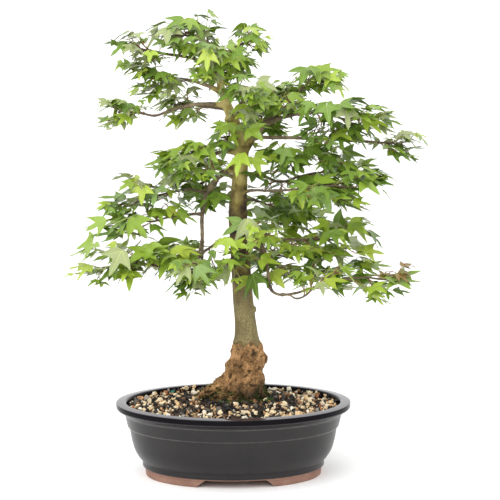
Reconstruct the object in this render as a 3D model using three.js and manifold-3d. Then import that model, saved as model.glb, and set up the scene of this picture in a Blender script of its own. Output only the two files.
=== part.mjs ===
// Bonsai maple tree in an oval glazed pot, in millimetres, +Z up.
// The pot stands on its two feet at z = 0. The trunk rises from the gravel, boughs leave the trunk,
// and each mass of leaves grows by a seeded rule from one stem that meets its bough or the trunk.
import * as THREE from 'three';
import { mergeVertices } from 'three/addons/utils/BufferGeometryUtils.js';
import Module from 'manifold-3d';

const wasm = await Module();
wasm.setup();

// Clearance between pieces that touch end to end, the margin by which a carrier is cut out of what
// grows from its side, and the clearance that growing twigs and leaves keep.
const GAP = 0.3;
const CUT_MARGIN = 0.4;
const GROWTH_GAP = 0.6;
const MERGE_DISTANCE = 1e-4;
const SLIVER = 0.03;
const GOLDEN_ANGLE = Math.PI * (3 - Math.sqrt(5));
const GOLDEN_SHARE = (Math.sqrt(5) - 1) / 2;

// Pot: an oval whose half width is its half length less a constant, so the wall is even all round.
const POT_HALF_LENGTH = 152.5;
const POT_HALF_WIDTH = 120;
const POT_HEIGHT = 97;
const OVAL_OFFSET = POT_HALF_LENGTH - POT_HALF_WIDTH;
const POT_SEGMENTS = 40;
const POT_UNDERSIDE = 9;
const POT_FLOOR = 18;
const FOOT_INNER = 101;
// Outline of the pot as half length and height: foot ring, bead, cyma, step, rim, inner wall.
const POT_INSIDE = [[137.5, 90], [130, 50], [118, 24], [108, POT_FLOOR]];
const POT_OUTLINE = [
  [0, POT_UNDERSIDE], [FOOT_INNER, POT_UNDERSIDE], [FOOT_INNER + 1, 0], [114, 0], [115.6, 10.5],
  [118.4, 12.5], [118.4, 16], [116.6, 18.5], [123.5, 25], [129.2, 35], [133, 50], [134.8, 61],
  [137.6, 63.5], [141, 80], [147, 83.2], [POT_HALF_LENGTH, 89], [151.5, 93.6], [144, POT_HEIGHT],
  [139.5, 95.5], ...POT_INSIDE, [0, POT_FLOOR],
];
// The foot ring is cut through at the front and back, which leaves two feet.
const NOTCH_HALF_AT_FLOOR = 50.5;
const NOTCH_HALF_AT_TOP = 38.8;
const NOTCH_TOP = 10;
const DRAIN_RADIUS = 10;
const DRAIN_X = 45;
const DRAIN_SIDES = 16;

// Gravel: it fills the pot, rises from the wall over the slope, and lies in hollows twice the lump
// deep, but flat as far as the seat beside each root. A mound is piled up behind.
const GRAVEL_AT_WALL = 89.5;
const GRAVEL_FLAT = 98;
const GRAVEL_INSET = 0.5;
const GRAVEL_RINGS = [0.93, 0.8, 0.66, 0.52, 0.4, 0.28, 0.16];
const GRAVEL_SLOPE = 0.48;
const GRAVEL_LUMP = 1.3;
const GRAVEL_WAVES = [0.15, 0.18];
const GRAVEL_SEAT = 12;
const GRAVEL_MOUND = { x: -62, y: 80, reach: 34, height: 3 };

// Trunk stations from the foot to the tip: height, lean along X, lean along Y, radius.
const TRUNK_FOOT = GRAVEL_FLAT + GAP;
const TRUNK_STATIONS = [
  [TRUNK_FOOT - 4, 15, 11, 25.5], [112, 15, 11, 23.5], [128, 15, 11, 24.5], [148, 18, 11, 22.5],
  [165, 18, 9, 18.6], [193, 16, 7, 14.4], [240, 12, 5, 13.2], [302, 8, 4, 12], [344, 6, 4, 11.6],
  [387, 9, 4, 9.2], [421, 11, 4, 8.8], [441, 8, 4, 7.8], [462, -1, 4, 7], [485, -10, 4, 5.8],
  [510, -17, 4, 4.4], [533, -19, 4, 3.5], [548, -24, 4, 2.8],
];
const TRUNK_SIDES = 11;
const TRUNK_STEPS_PER_STATION = 2;
const BURL_TOP = 178;
const BURL_DEPTH = 0.1;
const BURL_FADE = 40;
const BURL_WAVES = [0.13, 0.09];
const RIB_DEPTH = 0.03;
const RIB_WAVE = 0.02;
// Surface roots, half sunk in the gravel: compass turn, reach, height on the trunk, radius there and
// at the tip.
const ROOTS = [
  { turn: 187, reach: 66, crest: 42, girth: 12, tip: 3.2 },
  { turn: 205, reach: 44, crest: 30, girth: 12, tip: 5 },
  { turn: 240, reach: 33, crest: 20, girth: 12, tip: 6 },
  { turn: 290, reach: 29, crest: 18, girth: 12, tip: 7 },
  { turn: 345, reach: 30, crest: 16, girth: 12, tip: 7 },
  { turn: 42, reach: 36, crest: 24, girth: 12, tip: 6 },
  { turn: 112, reach: 42, crest: 26, girth: 12, tip: 5 },
];
const ROOT_BEND = { out: 0.6, high: 0.3 };
const ROOT_STEPS = 3;
const ROOT_SIDES = 6;
// Burrs and pruning scars on the trunk: height, compass turn, radius.
const BURRS = [
  { height: 142, turn: 300, radius: 7 },
  { height: 147, turn: 8, radius: 9 },
  { height: 222, turn: 355, radius: 4.5 },
  { height: 460, turn: 200, radius: 6 },
];
const BURR_PLACE = 0.75;
const BURR_SIDES = 6;

// Boughs. on: what carries it; at: height on the trunk, or share of a bough's length, 1 at its tip;
// turn: compass degrees from +X; reach and rise of its tip; arch: lift along the middle; sway: crook
// to the side; girth: radius at root and tip.
const BOUGHS = {
  fork_right: { on: 'trunk', at: 419, turn: 9, reach: 42, rise: 43, arch: 7, sway: -3, girth: [5.8, 3.4] },
  right_reach: {
    on: 'fork_right', at: 0.7, turn: 346, reach: 62, rise: 16, arch: 4, sway: 4, girth: [2.9, 2],
  },
  long_right: {
    on: 'fork_right', at: 0.32, turn: 356, reach: 160, rise: -6, arch: 2, sway: 6, girth: [2.4, 1.4],
  },
  apex_right: { on: 'trunk', at: 530, turn: 8, reach: 30, rise: 26, arch: 5, sway: 0, girth: [2, 1.4] },
  top_left: { on: 'trunk', at: 526, turn: 183, reach: 66, rise: 17, arch: 4, sway: 5, girth: [2.6, 1.6] },
  upper_left: { on: 'trunk', at: 493, turn: 170, reach: 42, rise: 17, arch: 3, sway: -3, girth: [3, 2] },
  finger_left: {
    on: 'trunk', at: 478, turn: 188, reach: 82, rise: -9, arch: 8, sway: 5, girth: [3.1, 1.6],
  },
  mid_left: { on: 'trunk', at: 416, turn: 192, reach: 32, rise: 2, arch: 4, sway: 2, girth: [3.6, 2.2] },
  arch_left: {
    on: 'trunk', at: 396, turn: 176, reach: 36, rise: -18, arch: 10, sway: 0, girth: [5.2, 3.2],
  },
  strut_left: {
    on: 'arch_left', at: 1, turn: 214, reach: 17, rise: -95, arch: 4, sway: 5, girth: [2.9, 1.9],
  },
  strut_front: {
    on: 'strut_left', at: 0.8, turn: 262, reach: 26, rise: -14, arch: 3, sway: 2, girth: [1.7, 1.2],
  },
  side_left: {
    on: 'strut_left', at: 0.45, turn: 186, reach: 56, rise: -7, arch: 3, sway: 3, girth: [1.8, 1.2],
  },
  side_top: {
    on: 'strut_left', at: 0.16, turn: 164, reach: 30, rise: 4, arch: 3, sway: 0, girth: [1.9, 1.3],
  },
  mid_right: { on: 'trunk', at: 390, turn: 16, reach: 44, rise: -8, arch: 4, sway: 3, girth: [2.8, 1.8] },
  cross_front: { on: 'trunk', at: 364, turn: 310, reach: 40, rise: 8, arch: 3, sway: 3, girth: [2.3, 1.5] },
  low_right: { on: 'trunk', at: 311, turn: 318, reach: 34, rise: -8, arch: 5, sway: 0, girth: [3.2, 2.4] },
  spur_right: {
    on: 'low_right', at: 0.6, turn: 352, reach: 34, rise: 0, arch: 3, sway: 2, girth: [2, 1.4],
  },
  drop_right: {
    on: 'low_right', at: 1, turn: 318, reach: 17, rise: -52, arch: 5, sway: 0, girth: [2.3, 1.9],
  },
  run_right: { on: 'drop_right', at: 1, turn: 0, reach: 84, rise: 6, arch: -4, sway: 3, girth: [1.8, 1.2] },
  run_front: {
    on: 'run_right', at: 0.3, turn: 300, reach: 26, rise: 0, arch: 3, sway: 1, girth: [1.4, 1.1],
  },
  dark_right: {
    on: 'trunk', at: 302, turn: 18, reach: 62, rise: -42, arch: 12, sway: 5, girth: [2.7, 1.6],
  },
  back_low: { on: 'trunk', at: 292, turn: 58, reach: 54, rise: -6, arch: 7, sway: 4, girth: [3, 1.9] },
  back_low_left: {
    on: 'trunk', at: 304, turn: 132, reach: 50, rise: -10, arch: 7, sway: 4, girth: [2.9, 1.8],
  },
  back_right: { on: 'trunk', at: 350, turn: 62, reach: 48, rise: 4, arch: 5, sway: 4, girth: [3, 1.9] },
  back_left: { on: 'trunk', at: 380, turn: 118, reach: 46, rise: 6, arch: 5, sway: 4, girth: [3, 1.9] },
  back_top: { on: 'trunk', at: 460, turn: 70, reach: 44, rise: 20, arch: 3, sway: 3, girth: [3, 1.9] },
};
const BOUGH_SIDES = 5;
const BOUGH_STEP = 20;
const BOUGH_MIN_STEPS = 3;

// Leaf masses. on and at as for boughs; turn, reach and rise lead from there to the middle of the
// oval space that the mass keeps to; size: that space along X, Y and Z; sprays: its number of twigs.
const MASSES = {
  crown_top: { on: 'trunk', at: 548, turn: 188, reach: 32, rise: 16, size: [111, 92, 64], sprays: 12 },
  top_left: { on: 'top_left', at: 1, turn: 191, reach: 32, rise: 6, size: [92, 74, 54], sprays: 9 },
  apex_right: { on: 'apex_right', at: 1, turn: 359, reach: 13, rise: 4, size: [64, 62, 46], sprays: 6 },
  top_front: { on: 'trunk', at: 516, turn: 259, reach: 49, rise: 14, size: [84, 76, 60], sprays: 8 },
  top_back: { on: 'trunk', at: 521, turn: 79, reach: 57, rise: 3, size: [94, 90, 60], sprays: 9 },
  upper_left: { on: 'upper_left', at: 1, turn: 177, reach: 46, rise: 2, size: [113, 84, 68], sprays: 10 },
  upper_right: { on: 'fork_right', at: 1, turn: 8, reach: 33, rise: 33, size: [146, 92, 82], sprays: 14 },
  right_tip: { on: 'right_reach', at: 1, turn: 325, reach: 50, rise: -11, size: [146, 96, 76], sprays: 13 },
  upper_front: { on: 'trunk', at: 468, turn: 288, reach: 61, rise: 22, size: [82, 80, 67], sprays: 8 },
  upper_back: { on: 'back_top', at: 1, turn: 43, reach: 45, rise: -9, size: [103, 96, 84], sprays: 11 },
  far_right: { on: 'long_right', at: 1, turn: 4, reach: 26, rise: -3, size: [80, 64, 54], sprays: 7 },
  finger_left: { on: 'finger_left', at: 1, turn: 186, reach: 48, rise: 1, size: [91, 78, 55], sprays: 8 },
  finger_back: { on: 'trunk', at: 474, turn: 135, reach: 82, rise: 2, size: [86, 90, 58], sprays: 7 },
  mid_left: { on: 'mid_left', at: 1, turn: 185, reach: 38, rise: -14, size: [120, 88, 66], sprays: 12 },
  mid_right: { on: 'mid_right', at: 1, turn: 356, reach: 51, rise: 8, size: [194, 98, 88], sprays: 13 },
  mid_right_front: {
    on: 'cross_front', at: 1, turn: 342, reach: 100, rise: 5, size: [152, 84, 62], sprays: 12,
  },
  mid_left_back: {
    on: 'back_left', at: 1, turn: 130, reach: 44, rise: -14, size: [111, 96, 84], sprays: 12,
  },
  mid_right_back: {
    on: 'back_right', at: 1, turn: 40, reach: 58, rise: -22, size: [134, 100, 72], sprays: 11,
  },
  side_left: { on: 'side_left', at: 1, turn: 188, reach: 27, rise: -1, size: [146, 80, 54], sprays: 9 },
  side_left_top: {
    on: 'side_top', at: 1, turn: 180, reach: 51, rise: -12, size: [142, 86, 66], sprays: 11,
  },
  front_low: { on: 'trunk', at: 308, turn: 293, reach: 72, rise: 11, size: [75, 68, 48], sprays: 7 },
  low_left: { on: 'strut_left', at: 1, turn: 187, reach: 89, rise: -4, size: [186, 92, 68], sprays: 15 },
  low_left_front: {
    on: 'strut_front', at: 1, turn: 246, reach: 35, rise: -24, size: [70, 66, 68], sprays: 8,
  },
  low_left_back: {
    on: 'back_low_left', at: 1, turn: 139, reach: 38, rise: -27, size: [119, 92, 74], sprays: 11,
  },
  low_right: { on: 'spur_right', at: 1, turn: 0, reach: 61, rise: -3, size: [164, 88, 64], sprays: 13 },
  low_right_back: { on: 'dark_right', at: 1, turn: 5, reach: 78, rise: 7, size: [128, 88, 72], sprays: 11 },
  low_right_tip: { on: 'run_right', at: 1, turn: 5, reach: 64, rise: -2, size: [103, 76, 62], sprays: 8 },
  low_right_front: { on: 'run_front', at: 1, turn: 340, reach: 41, rise: 25, size: [98, 74, 50], sprays: 8 },
  low_back: { on: 'back_low', at: 1, turn: 50, reach: 50, rise: -13, size: [137, 100, 84], sprays: 10 },
  front_twigs: { on: 'trunk', at: 290, turn: 255, reach: 60, rise: -7, size: [63, 56, 73], sprays: 6 },
  neck_left: { on: 'trunk', at: 436, turn: 222, reach: 28, rise: 2, size: [58, 54, 58], sprays: 6 },
};
const MASS_SEED = 7;
const STEM_TIP = 1.2;
const STEM_SIDES = 4;
const STEM_STEPS = 4;
const STEM_FORKS = 10;
const STEM_OVERRUN = 0.2;
const STEM_LIFT = 0.06;
const PATH_COST = 0.35;
const TURN_COST = 18;
const FORK_TRIES = 3;
const TWIG_SIDES = 3;
const TWIG_GIRTH = 1.3;
const TWIG_SHARE = 0.75;
const TWIG_FORKS = [0.35];
// How far inside the edge of its space a twig ends, as leaves reach on past it.
const LEAF_MARGIN = 23;
const LEAF_MARGIN_HIGH = 9;
const INNER_LEAST = 0.35;
const LEVEL_FLATNESS = 0.6;
const LEAF_LENGTH = 56;
const LEAF_SPREAD = 0.3;
const LEAF_THICKNESS = 1.6;
const LEAF_DROOP = 0.38;
const LEAF_TILT = 0.5;
const LEAF_FOLLOW = 0.7;
// The leaves of a twig: place on it, lean from its direction, how far the root of the blade is sunk.
const LEAF_PLACES = [
  { at: 1, lean: 0, sunk: 9 },
  { at: 0.74, lean: 1.1, sunk: 3 },
  { at: 0.52, lean: -1.1, sunk: 3 },
];
// Turn and share of full length tried in this order until a leaf finds room.
const LEAF_TRIES = [[0, 1], [0.45, 1], [-0.45, 1], [0.2, 0.75], [-0.7, 0.75]];
const SPACE_LIMIT = 1.25;
// A twig is left out where another mass's space claims its end this much more strongly.
const NEARER_SHARE = 0.75;
// Edge of a three-lobed blade, from its root round to its root again: across, along, droop.
const LEAF_EDGE = [[0, 0, 0], [0.46, 0.6, -0.09], [0.15, 0.6, -0.03], [0, 1, -0.14], [-0.15, 0.6, -0.03],
  [-0.46, 0.6, -0.09]];
const LEAF_CREST = 0.32;

// A number from 0 to 1 at each call, the same each time for one seed.
function seeded(seed) {
  let state = seed >>> 0;
  return () => {
    state = (state + 0x6d2b79f5) >>> 0;
    let mixed = Math.imul(state ^ (state >>> 15), state | 1);
    mixed = (mixed + Math.imul(mixed ^ (mixed >>> 7), mixed | 61)) ^ mixed;
    return ((mixed ^ (mixed >>> 14)) >>> 0) / 4294967296;
  };
}

// A closed solid from a geometry: shared corners are merged and empty triangles dropped.
function solidOf(geometry) {
  geometry.deleteAttribute('normal');
  geometry.deleteAttribute('uv');
  const merged = mergeVertices(geometry, MERGE_DISTANCE);
  const corners = merged.index.array;
  const triVerts = [];
  for (let i = 0; i < corners.length; i += 3) {
    const [a, b, c] = [corners[i], corners[i + 1], corners[i + 2]];
    if (a !== b && b !== c && c !== a) {
      triVerts.push(a, b, c);
    }
  }
  const vertProperties = Float32Array.from(merged.attributes.position.array);
  const mesh = new wasm.Mesh({ numProp: 3, vertProperties, triVerts: Uint32Array.from(triVerts) });
  return new wasm.Manifold(mesh);
}

// The largest closed piece of a solid, so that loose scraps and sealed hollows are left behind.
function mainPiece(solid) {
  const pieces = solid.simplify(SLIVER).decompose();
  return pieces.reduce((best, piece) => (piece.volume() > best.volume() ? piece : best));
}

function meshOf(name, solid, { colour, roughness }) {
  const { vertProperties, triVerts } = solid.getMesh();
  const geometry = new THREE.BufferGeometry();
  geometry.setAttribute('position', new THREE.BufferAttribute(vertProperties, 3));
  geometry.setIndex(new THREE.BufferAttribute(triVerts, 1));
  geometry.computeVertexNormals();
  const material = new THREE.MeshStandardMaterial({ color: colour, roughness, metalness: 0 });
  const mesh = new THREE.Mesh(geometry, material);
  mesh.name = name;
  return mesh;
}

function lerp(from, to, share) {
  return from + (to - from) * share;
}

function heading(turn) {
  const angle = THREE.MathUtils.degToRad(turn);
  return new THREE.Vector3(Math.cos(angle), Math.sin(angle), 0);
}

// Places along a curve, each with the curve's direction there.
function lineOf(curve, steps) {
  return Array.from({ length: steps + 1 }, (_, i) => ({
    place: curve.getPoint(i / steps),
    along: curve.getTangent(i / steps),
  }));
}

// At each place of a line, two directions square to it, carried on without a twist.
function framesAlong(line) {
  let across = Math.abs(line[0].along.z) > 0.9 ? new THREE.Vector3(1, 0, 0) : new THREE.Vector3(0, 0, 1);
  return line.map(({ along }) => {
    across = across.clone().addScaledVector(along, -across.dot(along)).normalize();
    return { across, side: across.clone().cross(along) };
  });
}

// A closed tube with flat ends along a line of places, with a radius at each. swell scales the
// radius by the angle round the tube and the height.
function tube(line, radii, sides, swell = () => 1) {
  const steps = line.length - 1;
  const geometry = new THREE.CylinderGeometry(1, 1, 1, sides, steps);
  const frames = framesAlong(line);
  const position = geometry.attributes.position;
  for (let i = 0; i < position.count; i += 1) {
    const row = Math.round((position.getY(i) + 0.5) * steps);
    const x = position.getX(i);
    const z = position.getZ(i);
    const place = line[row].place.clone();
    const radius = radii[row] * swell(Math.atan2(z, x), place.z);
    place.addScaledVector(frames[row].across, x * radius);
    place.addScaledVector(frames[row].side, z * radius);
    position.setXYZ(i, place.x, place.y, place.z);
  }
  return solidOf(geometry);
}

// A turned outline drawn into an oval: the wall keeps one offset, the floor narrows in proportion.
function ovalTurned(outline) {
  const geometry = new THREE.LatheGeometry(outline.map(([r, z]) => new THREE.Vector2(r, z)), POT_SEGMENTS);
  geometry.rotateX(Math.PI / 2);
  const position = geometry.attributes.position;
  for (let i = 0; i < position.count; i += 1) {
    const reach = Math.hypot(position.getX(i), position.getY(i));
    const narrowing = 1 - OVAL_OFFSET / Math.max(reach, FOOT_INNER);
    position.setY(i, position.getY(i) * narrowing);
  }
  return geometry;
}

// Pot.
function potSolid() {
  const notch = new THREE.Shape([
    new THREE.Vector2(-NOTCH_HALF_AT_FLOOR, -1), new THREE.Vector2(NOTCH_HALF_AT_FLOOR, -1),
    new THREE.Vector2(NOTCH_HALF_AT_FLOOR, 0), new THREE.Vector2(NOTCH_HALF_AT_TOP, NOTCH_TOP),
    new THREE.Vector2(-NOTCH_HALF_AT_TOP, NOTCH_TOP), new THREE.Vector2(-NOTCH_HALF_AT_FLOOR, 0),
  ]);
  const cut = new THREE.ExtrudeGeometry(notch, { depth: 2 * POT_HALF_WIDTH, bevelEnabled: false });
  cut.rotateX(Math.PI / 2);
  cut.translate(0, POT_HALF_WIDTH, 0);
  let pot = solidOf(ovalTurned(POT_OUTLINE)).subtract(solidOf(cut));
  for (const x of [-DRAIN_X, DRAIN_X]) {
    const drain = new THREE.CylinderGeometry(DRAIN_RADIUS, DRAIN_RADIUS, 2 * POT_FLOOR, DRAIN_SIDES);
    drain.rotateX(Math.PI / 2);
    drain.translate(x, 0, POT_FLOOR);
    pot = pot.subtract(solidOf(drain));
  }
  return mainPiece(pot);
}

// Gravel. How far a place lies from the middle of the nearest root.
function awayFromRoots(x, y) {
  const [, footX, footY] = TRUNK_STATIONS[0];
  return Math.min(...ROOTS.map(({ turn, reach }) => {
    const out = heading(turn);
    const along = THREE.MathUtils.clamp((x - footX) * out.x + (y - footY) * out.y, 0, reach);
    return Math.hypot(x - footX - out.x * along, y - footY - out.y * along);
  }));
}

function gravelHeight(x, y, share) {
  const rise = THREE.MathUtils.smoothstep(1 - share, 0, GRAVEL_SLOPE);
  const open = THREE.MathUtils.smoothstep(awayFromRoots(x, y), GRAVEL_SEAT, 2 * GRAVEL_SEAT);
  const wave = Math.sin(x * GRAVEL_WAVES[0]) * Math.cos(y * GRAVEL_WAVES[1]);
  const { reach, height } = GRAVEL_MOUND;
  const away = Math.hypot(x - GRAVEL_MOUND.x, y - GRAVEL_MOUND.y);
  const piled = height * (1 - THREE.MathUtils.smoothstep(away, 0, reach));
  return lerp(GRAVEL_AT_WALL, GRAVEL_FLAT, rise) - GRAVEL_LUMP * open * (1 - wave) + piled;
}

function gravelSolid() {
  const wall = [...POT_INSIDE].reverse();
  const [wallTop, wallBelow] = POT_INSIDE;
  const wallShare = (GRAVEL_AT_WALL - wallBelow[1]) / (wallTop[1] - wallBelow[1]);
  const edge = lerp(wallBelow[0], wallTop[0], wallShare) - GRAVEL_INSET;
  const outline = [[0, POT_FLOOR + GAP]];
  for (const [r, z] of wall.slice(0, -1)) {
    outline.push([r - GRAVEL_INSET, z + GAP]);
  }
  outline.push([edge, GRAVEL_AT_WALL]);
  const firstRing = outline.length;
  const rings = [...GRAVEL_RINGS, 0];
  outline.push(...rings.map((ring) => [edge * ring, GRAVEL_FLAT]));
  const geometry = ovalTurned(outline);
  const position = geometry.attributes.position;
  for (let i = 0; i < position.count; i += 1) {
    const row = i % outline.length - firstRing;
    if (row >= 0) {
      position.setZ(i, gravelHeight(position.getX(i), position.getY(i), rings[row]));
    }
  }
  return mainPiece(solidOf(geometry));
}

// Trunk.
const trunkCurve = new THREE.CatmullRomCurve3(
  TRUNK_STATIONS.map(([z, x, y]) => new THREE.Vector3(x, y, z)), false, 'catmullrom', 0.5,
);
const trunkGirth = new THREE.CatmullRomCurve3(
  TRUNK_STATIONS.map(([, , , radius]) => new THREE.Vector3(radius, 0, 0)), false, 'catmullrom', 0.5,
);
const TRUNK_TIP = TRUNK_STATIONS[TRUNK_STATIONS.length - 1][0];

function trunkShare(height) {
  let [low, high] = [0, 1];
  while (high - low > 1e-6) {
    const middle = (low + high) / 2;
    if (trunkCurve.getPoint(middle).z < height) {
      low = middle;
    } else {
      high = middle;
    }
  }
  return low;
}

function trunkSwell(angle, height) {
  const burl = BURL_DEPTH * (1 - THREE.MathUtils.smoothstep(height, BURL_TOP - BURL_FADE, BURL_TOP));
  const lump = Math.sin(3 * angle + height * BURL_WAVES[0]) * Math.cos(2 * angle - height * BURL_WAVES[1]);
  const rib = Math.sin(4 * angle + height * RIB_WAVE);
  return 1 + burl * lump + RIB_DEPTH * rib;
}

function trunkTube(margin) {
  const steps = (TRUNK_STATIONS.length - 1) * TRUNK_STEPS_PER_STATION;
  const radii = lineOf(trunkGirth, steps).map(({ place }) => place.x + margin);
  return tube(lineOf(trunkCurve, steps), radii, TRUNK_SIDES, trunkSwell);
}

function rootSolid({ turn, reach, crest, girth, tip }) {
  const foot = trunkCurve.getPoint(0);
  const out = heading(turn);
  const curve = new THREE.QuadraticBezierCurve3(
    new THREE.Vector3(foot.x, foot.y, TRUNK_FOOT + crest),
    foot.clone().addScaledVector(out, reach * ROOT_BEND.out).setZ(TRUNK_FOOT + crest * ROOT_BEND.high),
    foot.clone().addScaledVector(out, reach).setZ(TRUNK_FOOT - tip / 2),
  );
  const line = lineOf(curve, ROOT_STEPS);
  const radii = line.map((_, i) => lerp(girth, tip, i / ROOT_STEPS));
  return tube(line, radii, ROOT_SIDES);
}

function trunkSolid() {
  let trunk = trunkTube(0);
  for (const root of ROOTS) {
    trunk = trunk.add(rootSolid(root));
  }
  for (const { height, turn, radius } of BURRS) {
    const share = trunkShare(height);
    const place = trunkCurve.getPoint(share);
    place.addScaledVector(heading(turn), trunkGirth.getPoint(share).x * BURR_PLACE);
    const burr = new THREE.SphereGeometry(radius, BURR_SIDES, BURR_SIDES - 2);
    burr.translate(place.x, place.y, place.z);
    trunk = trunk.add(solidOf(burr));
  }
  const below = new THREE.BoxGeometry(POT_HALF_LENGTH, POT_HALF_LENGTH, POT_HEIGHT);
  below.translate(0, 0, TRUNK_FOOT - POT_HEIGHT / 2);
  return mainPiece(trunk.subtract(solidOf(below)));
}

// Boughs. Each keeps its curve, so that what grows from it knows where it is.
const curves = { trunk: trunkCurve };
const girths = { trunk: [0, TRUNK_STATIONS[TRUNK_STATIONS.length - 1][3]] };

// Where a limb or stem starts: the place, the direction of what carries it, and if that is its tip.
function rootOf({ on, at }) {
  const carrier = curves[on];
  const share = on === 'trunk' ? trunkShare(at) : at;
  const atTip = on === 'trunk' ? at >= TRUNK_TIP : at === 1;
  const along = carrier.getTangent(atTip ? 1 : share);
  const place = carrier.getPoint(atTip ? 1 : share);
  if (atTip) {
    place.addScaledVector(along, GAP);
  }
  return { place, along, atTip };
}

function boughCurve(bough) {
  const { place, along, atTip } = rootOf(bough);
  const out = heading(bough.turn);
  const side = new THREE.Vector3(-out.y, out.x, 0);
  const tip = place.clone().addScaledVector(out, bough.reach);
  tip.z += bough.rise;
  const bends = [1 / 3, 2 / 3].map((share) => place.clone().lerp(tip, share));
  bends.forEach((bend, i) => {
    bend.z += bough.arch;
    bend.addScaledVector(side, i === 0 ? bough.sway : -bough.sway);
  });
  if (atTip) {
    bends[0] = place.clone().addScaledVector(along, place.distanceTo(tip) / 3);
  }
  return new THREE.CubicBezierCurve3(place, bends[0], bends[1], tip);
}

function boughTube(name, margin) {
  if (name === 'trunk') {
    return trunkTube(margin);
  }
  const curve = curves[name];
  const [rootGirth, tipGirth] = girths[name];
  const steps = Math.max(BOUGH_MIN_STEPS, Math.round(curve.getLength() / BOUGH_STEP));
  const radii = Array.from({ length: steps + 1 }, (_, i) => lerp(rootGirth, tipGirth, i / steps) + margin);
  return tube(lineOf(curve, steps), radii, BOUGH_SIDES);
}

function boughSolid(name) {
  const bough = BOUGHS[name];
  curves[name] = boughCurve(bough);
  girths[name] = bough.girth;
  const solid = boughTube(name, 0);
  return rootOf(bough).atTip ? solid : mainPiece(solid.subtract(boughTube(bough.on, CUT_MARGIN)));
}

// Leaf masses.
function spaceOf(mass) {
  const { place } = rootOf(mass);
  const centre = place.clone().addScaledVector(heading(mass.turn), mass.reach);
  centre.z += mass.rise;
  return { centre, half: new THREE.Vector3(...mass.size).multiplyScalar(0.5) };
}

// 0 in the middle of a mass's space, 1 at its edge.
function depthIn({ centre, half }, place) {
  return place.clone().sub(centre).divide(half).length();
}

// Where the twigs end: spread like the seeds of a sunflower over the plan, at mixed heights.
function twigEnds({ centre, half }, count, random) {
  const inner = new THREE.Vector3(half.x - LEAF_MARGIN, half.y - LEAF_MARGIN, half.z - LEAF_MARGIN_HIGH);
  inner.max(half.clone().multiplyScalar(INNER_LEAST));
  const phase = random();
  return Array.from({ length: count }, (_, k) => {
    const share = Math.sqrt((k + 0.5) / count);
    const angle = (k + phase) * GOLDEN_ANGLE;
    const level = 2 * ((k * GOLDEN_SHARE + phase) % 1) - 1;
    const height = level * Math.sqrt(1 - LEVEL_FLATNESS * share * share);
    const place = new THREE.Vector3(share * Math.cos(angle), share * Math.sin(angle), height);
    return place.multiply(inner).add(centre);
  });
}

function stemOf(mass, centre) {
  const { place, along, atTip } = rootOf(mass);
  const end = centre.clone().addScaledVector(centre.clone().sub(place), STEM_OVERRUN);
  const length = place.distanceTo(end);
  const out = atTip ? along : heading(mass.turn);
  const first = place.clone().addScaledVector(out, length / 3);
  const second = place.clone().lerp(end, 2 / 3);
  second.z += length * STEM_LIFT;
  const line = lineOf(new THREE.CubicBezierCurve3(place, first, second, end), STEM_STEPS);
  const radii = line.map((_, i) => lerp(girths[mass.on][1], STEM_TIP, i / STEM_STEPS));
  return { line, radii, solid: tube(line, radii, STEM_SIDES), atTip };
}

// Places on the stem and on earlier twigs, those first that reach a twig's end by the shortest way.
function forksTo(forks, end) {
  const cost = (fork) => {
    const way = end.clone().sub(fork.place);
    const turnBack = 1 - way.clone().normalize().dot(fork.along);
    return way.length() + PATH_COST * fork.path + TURN_COST * turnBack;
  };
  return [...forks].sort((a, b) => cost(a) - cost(b)).slice(0, FORK_TRIES);
}

function leafSolid(root, along, up, length) {
  const facing = up.clone().addScaledVector(along, -up.dot(along)).normalize();
  const across = along.clone().cross(facing);
  const geometry = new THREE.SphereGeometry(1, LEAF_EDGE.length, 2);
  const position = geometry.attributes.position;
  for (let i = 0; i < position.count; i += 1) {
    const height = position.getY(i);
    const angle = Math.atan2(position.getZ(i), -position.getX(i));
    const turns = angle / (2 * Math.PI) + 1;
    const corner = Math.round(turns * LEAF_EDGE.length) % LEAF_EDGE.length;
    const onEdge = Math.abs(height) < 0.5;
    const [wide, far, droop] = onEdge ? LEAF_EDGE[corner] : [0, LEAF_CREST, 0];
    const place = root.clone().addScaledVector(across, wide * length).addScaledVector(along, far * length);
    const lift = onEdge ? droop * length : height * LEAF_THICKNESS / 2;
    place.addScaledVector(facing, lift);
    position.setXYZ(i, place.x, place.y, place.z);
  }
  return solidOf(geometry);
}

// True where a piece keeps clear of each solid in a list.
function isClear(piece, others) {
  const box = piece.boundingBox();
  return others.every((other) => {
    const near = other.boundingBox();
    const apart = [0, 1, 2].some((k) => (
      box.min[k] - GROWTH_GAP > near.max[k] || box.max[k] + GROWTH_GAP < near.min[k]
    ));
    return apart || piece.minGap(other, 2 * GROWTH_GAP) >= GROWTH_GAP;
  });
}

// A leaf of a twig in the first position where it keeps to its space and clear of the others.
function leafOn(twig, { at, lean, sunk }, space, draws, others) {
  const seat = twig.root.clone().lerp(twig.end, at);
  const outward = twig.end.clone().sub(space.centre).divide(space.half);
  const sway = new THREE.Vector3(draws[1] - 0.5, draws[2] - 0.5, 0);
  const facing = sway.addScaledVector(outward.clone().setZ(0), LEAF_TILT).setZ(1).normalize();
  for (const [turn, share] of LEAF_TRIES) {
    const aim = twig.along.clone().multiplyScalar(LEAF_FOLLOW).add(outward);
    aim.z = aim.z / 2 - LEAF_DROOP * (0.5 + draws[0]);
    aim.applyAxisAngle(facing, lean + turn).normalize();
    const root = seat.clone().addScaledVector(aim, -sunk);
    const length = share * LEAF_LENGTH * (1 + LEAF_SPREAD * (draws[3] - 0.5));
    const leaf = leafSolid(root, aim, facing, length);
    const tip = root.clone().addScaledVector(aim, length);
    if (depthIn(space, tip) < SPACE_LIMIT && isClear(leaf, others)) {
      return [leaf];
    }
  }
  return [];
}

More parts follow.
